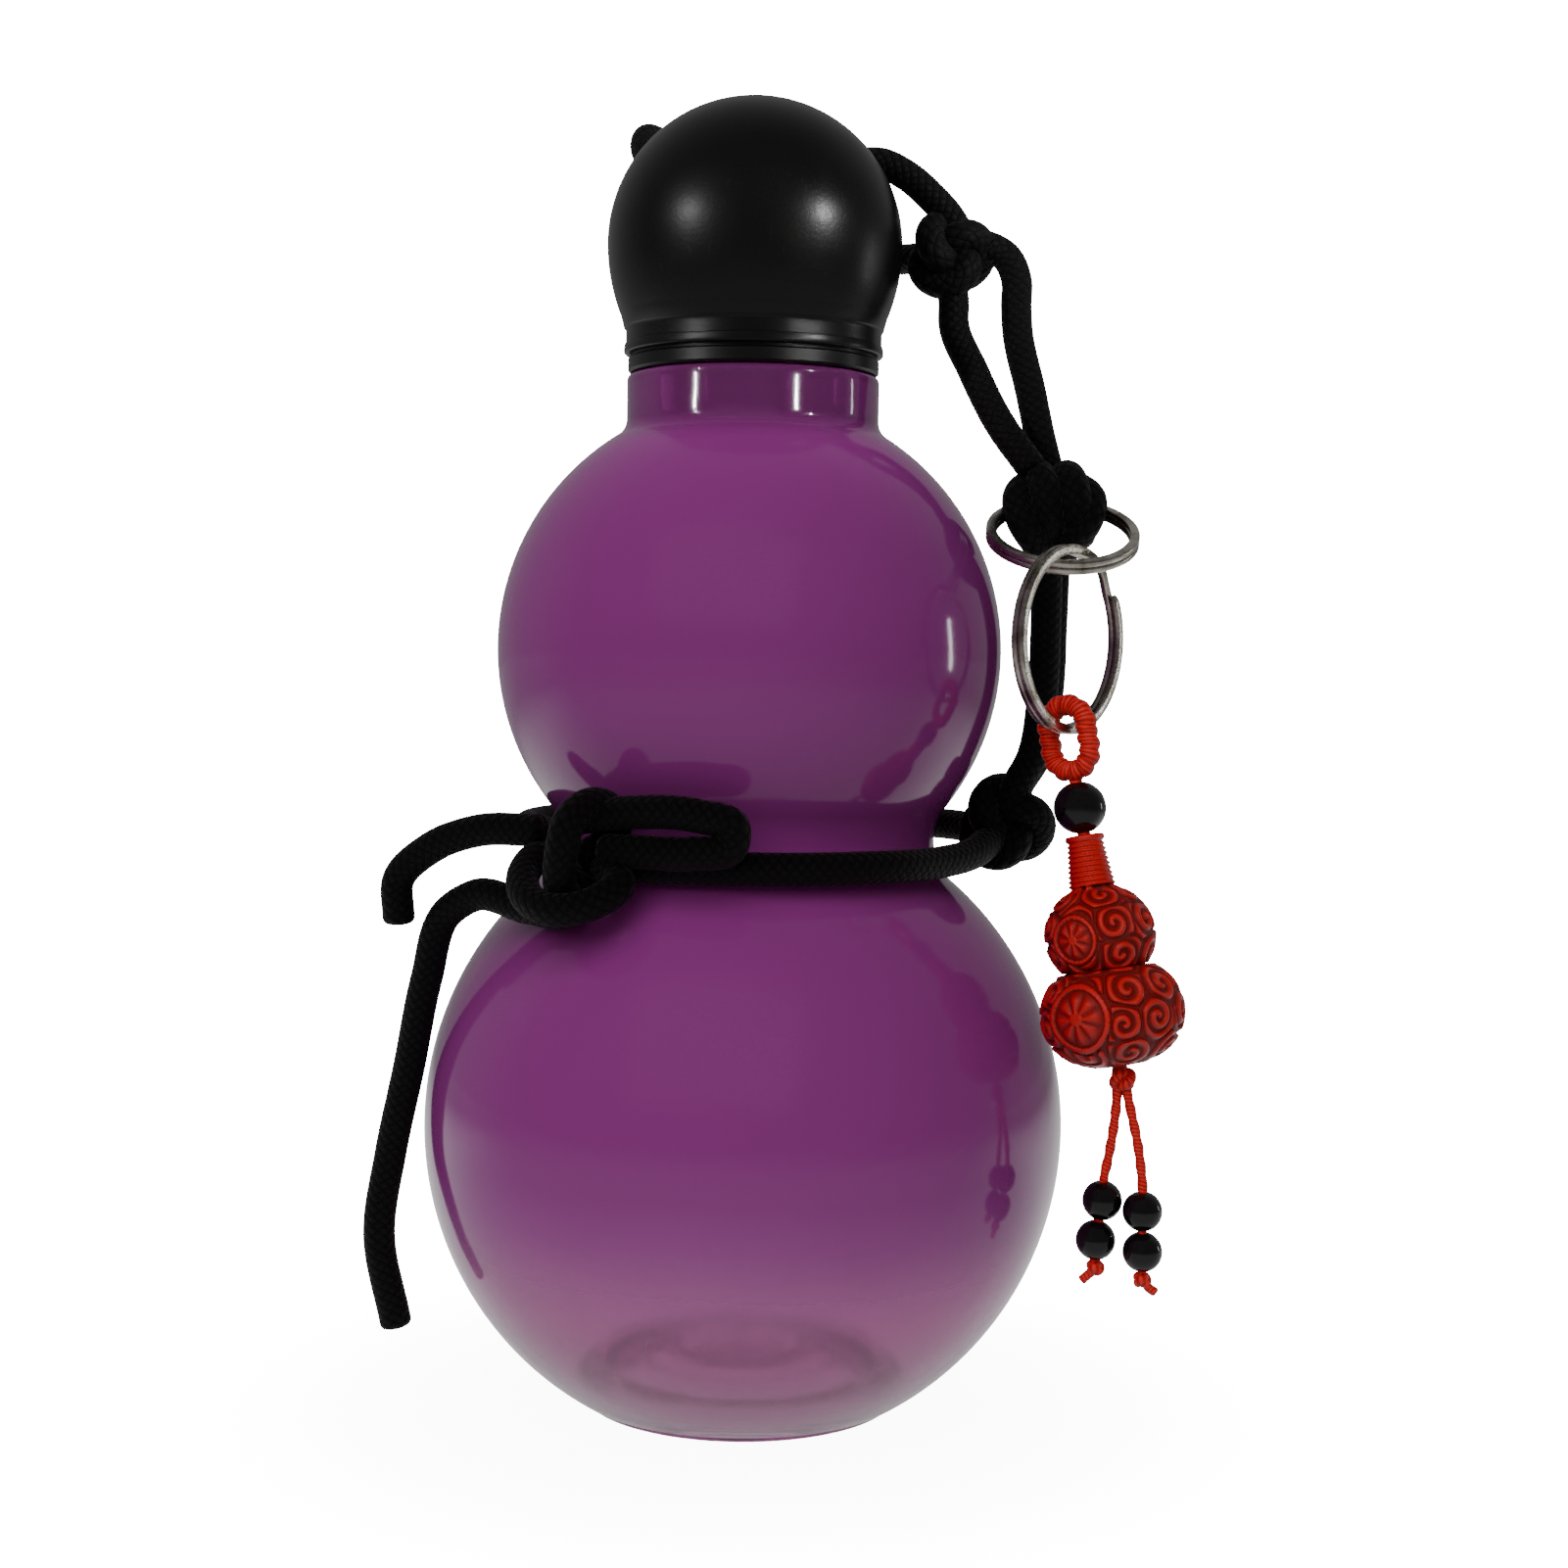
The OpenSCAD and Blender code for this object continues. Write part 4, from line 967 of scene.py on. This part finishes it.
def bored_bead(name, diameter, hole):
    """A round bead with a hole along Z, its edges worn round."""
    r = diameter / 2
    h = hole / 2
    top = math.degrees(math.acos((h + 0.25) / r))
    edge_z = r * math.sin(math.radians(top)) + 0.02
    profile = [*arc((0, 0), r, -top, top, 5), (h + 0.1, edge_z), (h, r * 0.9), (h, -r * 0.9),
               (h + 0.1, -edge_z)]
    points, faces = turned([*profile, profile[0]], 48)
    return place_mesh(name, points * MM, faces, materials=[gloss_black], sharp=60)


round_bead = bored_bead("charm_round_bead", BEAD_D, STRING_D + 0.3)
round_bead.data.transform(Matrix.Translation((0, 0, BEAD_MIDDLE * MM)))
on_charm(round_bead, ["charm_bead"], "round_bead")


# Gourd bead. A small double gourd, turned and carved all over, lacquered red, with a ribbed neck.
# It is threaded under the round bead, and its two medals, one to a lobe, face the camera.
MEDAL_TURN = math.radians(-128 - CHARM_TURN)
GOURD_UP_R = 8.5
GOURD_LOW_R = 11
GOURD_NECK = 8
NECK_RIBS = 9
RIB_POINTS = 6
CARVE_SIDES = 420
chance = random.Random(7)


def carved_bead():
    """The gourd bead: a dense turned form, pressed in by scroll carving and two rosette medals."""
    up_c = GOURD_TOP - GOURD_NECK - GOURD_UP_R * 0.86
    low_c = GOURD_LOW + GOURD_LOW_R * 0.72
    ribs = []
    for i in range(NECK_RIBS * RIB_POINTS + 1):
        down = i / (NECK_RIBS * RIB_POINTS)
        rib = 0.17 * math.cos(2 * math.pi * i / RIB_POINTS + math.pi)
        ribs.append((2.7 + 0.8 * down + rib, GOURD_TOP - 1.2 - 6.8 * down))
    upper = arc((GOURD_UP_R * 0.12, up_c), GOURD_UP_R * 0.88, 62, -42, 1.4)
    lower = arc((GOURD_LOW_R * 0.3, low_c), GOURD_LOW_R * 0.7, 58, -72, 1.2)
    waist = [((upper[-1][0] * (1 - t) + lower[0][0] * t) - 0.9 * math.sin(math.pi * t),
              upper[-1][1] * (1 - t) + lower[0][1] * t) for t in np.linspace(0, 1, 9)[1:-1]]
    profile = [(1.15, GOURD_TOP), (2.2, GOURD_TOP), (2.75, GOURD_TOP - 0.05), (3.0, GOURD_TOP - 0.3),
               (3.0, GOURD_TOP - 0.7), (2.75, GOURD_TOP - 1.0), *ribs, *upper, *waist, *lower,
               (4.2, GOURD_LOW + 0.1), (2.4, GOURD_LOW), (1.15, GOURD_LOW), (1.15, GOURD_TOP)]
    scroll_rows = ((low_c - 5.6, 7.9, 7, 0.2), (low_c - 1.2, 10.9, 10, 0.5), (low_c + 3.6, 9.6, 9, 0.0),
                   (up_c - 2.9, 7.5, 7, 0.4), (up_c + 1.9, 8.1, 8, 0.1), (up_c + 5.8, 5.4, 5, 0.3))
    medals = ((low_c, 10.6, 1.0), (up_c - 0.2, 8.2, 0.72))
    scrolls = []
    for ring_z, ring_r, number, shift in scroll_rows:
        for i in range(number):
            a = 2 * math.pi * (i + shift + chance.uniform(-0.12, 0.12)) / number
            scrolls.append((ring_r * math.cos(a), ring_r * math.sin(a), ring_z + chance.uniform(-0.5, 0.5),
                            a, chance.choice((-1, 1)), chance.uniform(0, 2 * math.pi)))
    scrolls = np.array(scrolls)

    def carve(r, z, angles):
        """The bead's radius less its carving. Each scroll winds round its own middle, 1.7 mm from
        line to line, as far as the middle next to it, and each medal is a rimmed rosette."""
        if z > up_c + 7.6 or r < 3:
            return np.full(len(angles), r)
        x = r * np.cos(angles)
        y = r * np.sin(angles)
        d = np.stack([x[:, None] - scrolls[:, 0], y[:, None] - scrolls[:, 1],
                      np.full((len(angles), len(scrolls)), z) - scrolls[:, 2]], -1)
        dist = np.linalg.norm(d, axis=-1)
        order = np.sort(dist, axis=1)
        nearest = dist.argmin(1)
        row = np.arange(len(angles))
        own = scrolls[nearest]
        off = d[row, nearest]
        aside = -off[:, 0] * np.sin(own[:, 3]) + off[:, 1] * np.cos(own[:, 3])
        spin = np.arctan2(off[:, 2], aside) * own[:, 4]
        curl = 0.5 + 0.5 * np.cos(2 * np.pi * order[:, 0] / 1.7 - spin - own[:, 5])
        border = np.clip((order[:, 1] - order[:, 0]) / 0.9, 0, 1)
        depth = 0.75 * (1 - border * curl ** 0.55)
        away = (angles - MEDAL_TURN + np.pi) % (2 * np.pi) - np.pi
        for medal_z, medal_r, share in medals:
            across = away * medal_r / share
            above = (z - medal_z) / share
            out = np.hypot(across, above)
            petal = 0.5 + 0.5 * np.cos(8 * np.arctan2(above, across))
            petal_end = np.clip((4.2 - out) / 1.2, 0, 1)
            flower = np.where(out < 1.0, 0.05, 0.5 - 0.45 * np.sqrt(petal) * petal_end)
            medal = np.where(out > 4.4, np.where(out > 5.2, 0.6, 0.0), flower)
            depth = np.where(out < 5.6, medal, depth)
        return r - depth

    points, faces = turned(profile, CARVE_SIDES, carve)
    made = place_mesh("charm_carved_bead", points * MM, faces)
    # How deep each point lies below the turned form, which the lacquer paints as shade.
    plain = np.repeat([r for r, z in profile], CARVE_SIDES)
    low = np.clip((plain - np.hypot(points[:, 0], points[:, 1])) / 0.6, 0, 1)
    depths = made.data.attributes.new("carved_depth", "FLOAT", "POINT")
    depths.data.foreach_set("value", low.astype(np.float32))
    return made


gourd_bead = carved_bead()


def carved_lacquer():
    """Carved red lacquer, half polished, lighter on its crests. Its red is darker the deeper the
    carving goes, which is painted shade in the carved lines. Its speckle is drawn at 2 mm, coarser
    than brush grain so that it shows."""
    material, tree, out = new_material("carved_lacquer")
    place = add(tree, "ShaderNodeTexCoord").outputs["Object"]
    depth = add(tree, "ShaderNodeAttribute", attribute_name="carved_depth").outputs["Fac"]
    grain = add(tree, "ShaderNodeTexNoise", {"Vector": place, "Scale": 500, "Detail": 4})
    # Painted shade: the deeper a point lies in the carving, the darker its red; the grain adds random tone.
    level = add(tree, "ShaderNodeMath", {0: grain.outputs["Fac"], 1: 0.35, 2: depth},
                operation="MULTIPLY_ADD")
    shade = add(tree, "ShaderNodeValToRGB", {"Fac": level.outputs[0]})
    shade.color_ramp.elements[0].color = linear("#bb1310")
    shade.color_ramp.elements[0].position = 0.15
    shade.color_ramp.elements[1].color = linear("#6a0807")
    shade.color_ramp.elements[1].position = 1.0
    rough = add(tree, "ShaderNodeMapRange", {"Value": level.outputs[0], "To Min": 0.3, "To Max": 0.7})
    relief = add(tree, "ShaderNodeBump", {"Height": grain.outputs["Fac"], "Strength": 0.15,
                 "Distance": 0.0002})
    body = add(tree, "ShaderNodeBsdfPrincipled", {
        "Base Color": shade.outputs[0], "Roughness": rough.outputs[0], "Coat Weight": 0.15,
        "Coat Roughness": 0.2, "Normal": relief.outputs[0]})
    tree.links.new(body.outputs[0], out.inputs["Surface"])
    return material


gourd_bead.data.materials.append(carved_lacquer())
on_charm(gourd_bead, ["charm_gourd"], "carved_bead")

knot_line = [(x, y, z + GOURD_LOW - GAP - 1.9) for x, y, z in overhand(0.95, 0.85)]
charm_knot = on_charm(tube("charm_knot_tied", smooth_route(knot_line, 0.2), 1.6, thread_red, sides=16),
                      ["charm_knot"])

# Tassels. Two twisted red threads come out of the gourd bead beside its knot. Each runs through
# two black glass beads and ends in a small knot whose tail turns outwards.
TASSEL_D = 1.5
TASSEL_BEAD_D = 6
TASSEL_BEAD_HOLE = 1.6
END_KNOT_D = 1.45
TASSELS = (
    ("left", -1, [[56.1, -28.3, 54.2], [55.2, -28, 46], [54.4, -27.8, 41.5]],
     [[54.2, -27.8, 38.4], [53.3, -27.8, 32.4]]),
    ("right", 1, [[57.7, -28.7, 54.2], [59.4, -29.3, 46], [60, -29.6, 40.3]],
     [[60, -29.6, 37.2], [60.1, -29.6, 31.1]]))


def twisted(along, turn):
    """Height in mm of the two strands that a tassel's thread is twisted from."""
    return 0.07 * np.sin(2 * turn + along * 2.2)


for side_name, aside, route, beads in TASSELS:
    start = CHARM @ Vector((0, 0, (GOURD_LOW + 5) * MM)) / MM
    end = np.array(beads[1]) - [0, 0, 4.2]
    path = smooth_route([list(start), *route, *beads, list(end)], 0.4)
    thread = tube(f"tassel_thread_{side_name}_cord", path, TASSEL_D, thread_red, sides=14, relief=twisted)
    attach(thread, "charm")
    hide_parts(f"tassel_thread_{side_name}")
    both = bpy.data.objects.new(f"tassel_beads_{side_name}_pair", bpy.data.meshes.new("pair"))
    shell = bmesh.new()
    for above, bead in ((route[-1], beads[0]), (beads[0], beads[1])):
        one = bored_bead("bead", TASSEL_BEAD_D, TASSEL_BEAD_HOLE)
        along = Vector(np.array(above) - np.array(bead)).normalized()
        lean = along.to_track_quat("Z", "Y").to_matrix().to_4x4()
        one.data.transform(Matrix.Translation(Vector(bead) * MM) @ lean)
        shell.from_mesh(one.data)
        bpy.data.objects.remove(one)
    shell.to_mesh(both.data)
    both.data.materials.append(gloss_black)
    bpy.context.collection.objects.link(both)
    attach(both, "charm")
    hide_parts(f"tassel_beads_{side_name}")
    end_line = [*overhand(0.5, 0.45), (0.8 * aside, 0, -0.9), (1.9 * aside, -0.1, -1.8)]
    end_line = [(x + end[0], y + end[1], z + end[2]) for x, y, z in end_line]
    end_knot = tube(f"tassel_end_{side_name}", smooth_route(end_line, 0.2), END_KNOT_D, thread_red,
                    sides=16)
    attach(end_knot, "charm")
    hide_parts(f"tassel_knot_{side_name}")
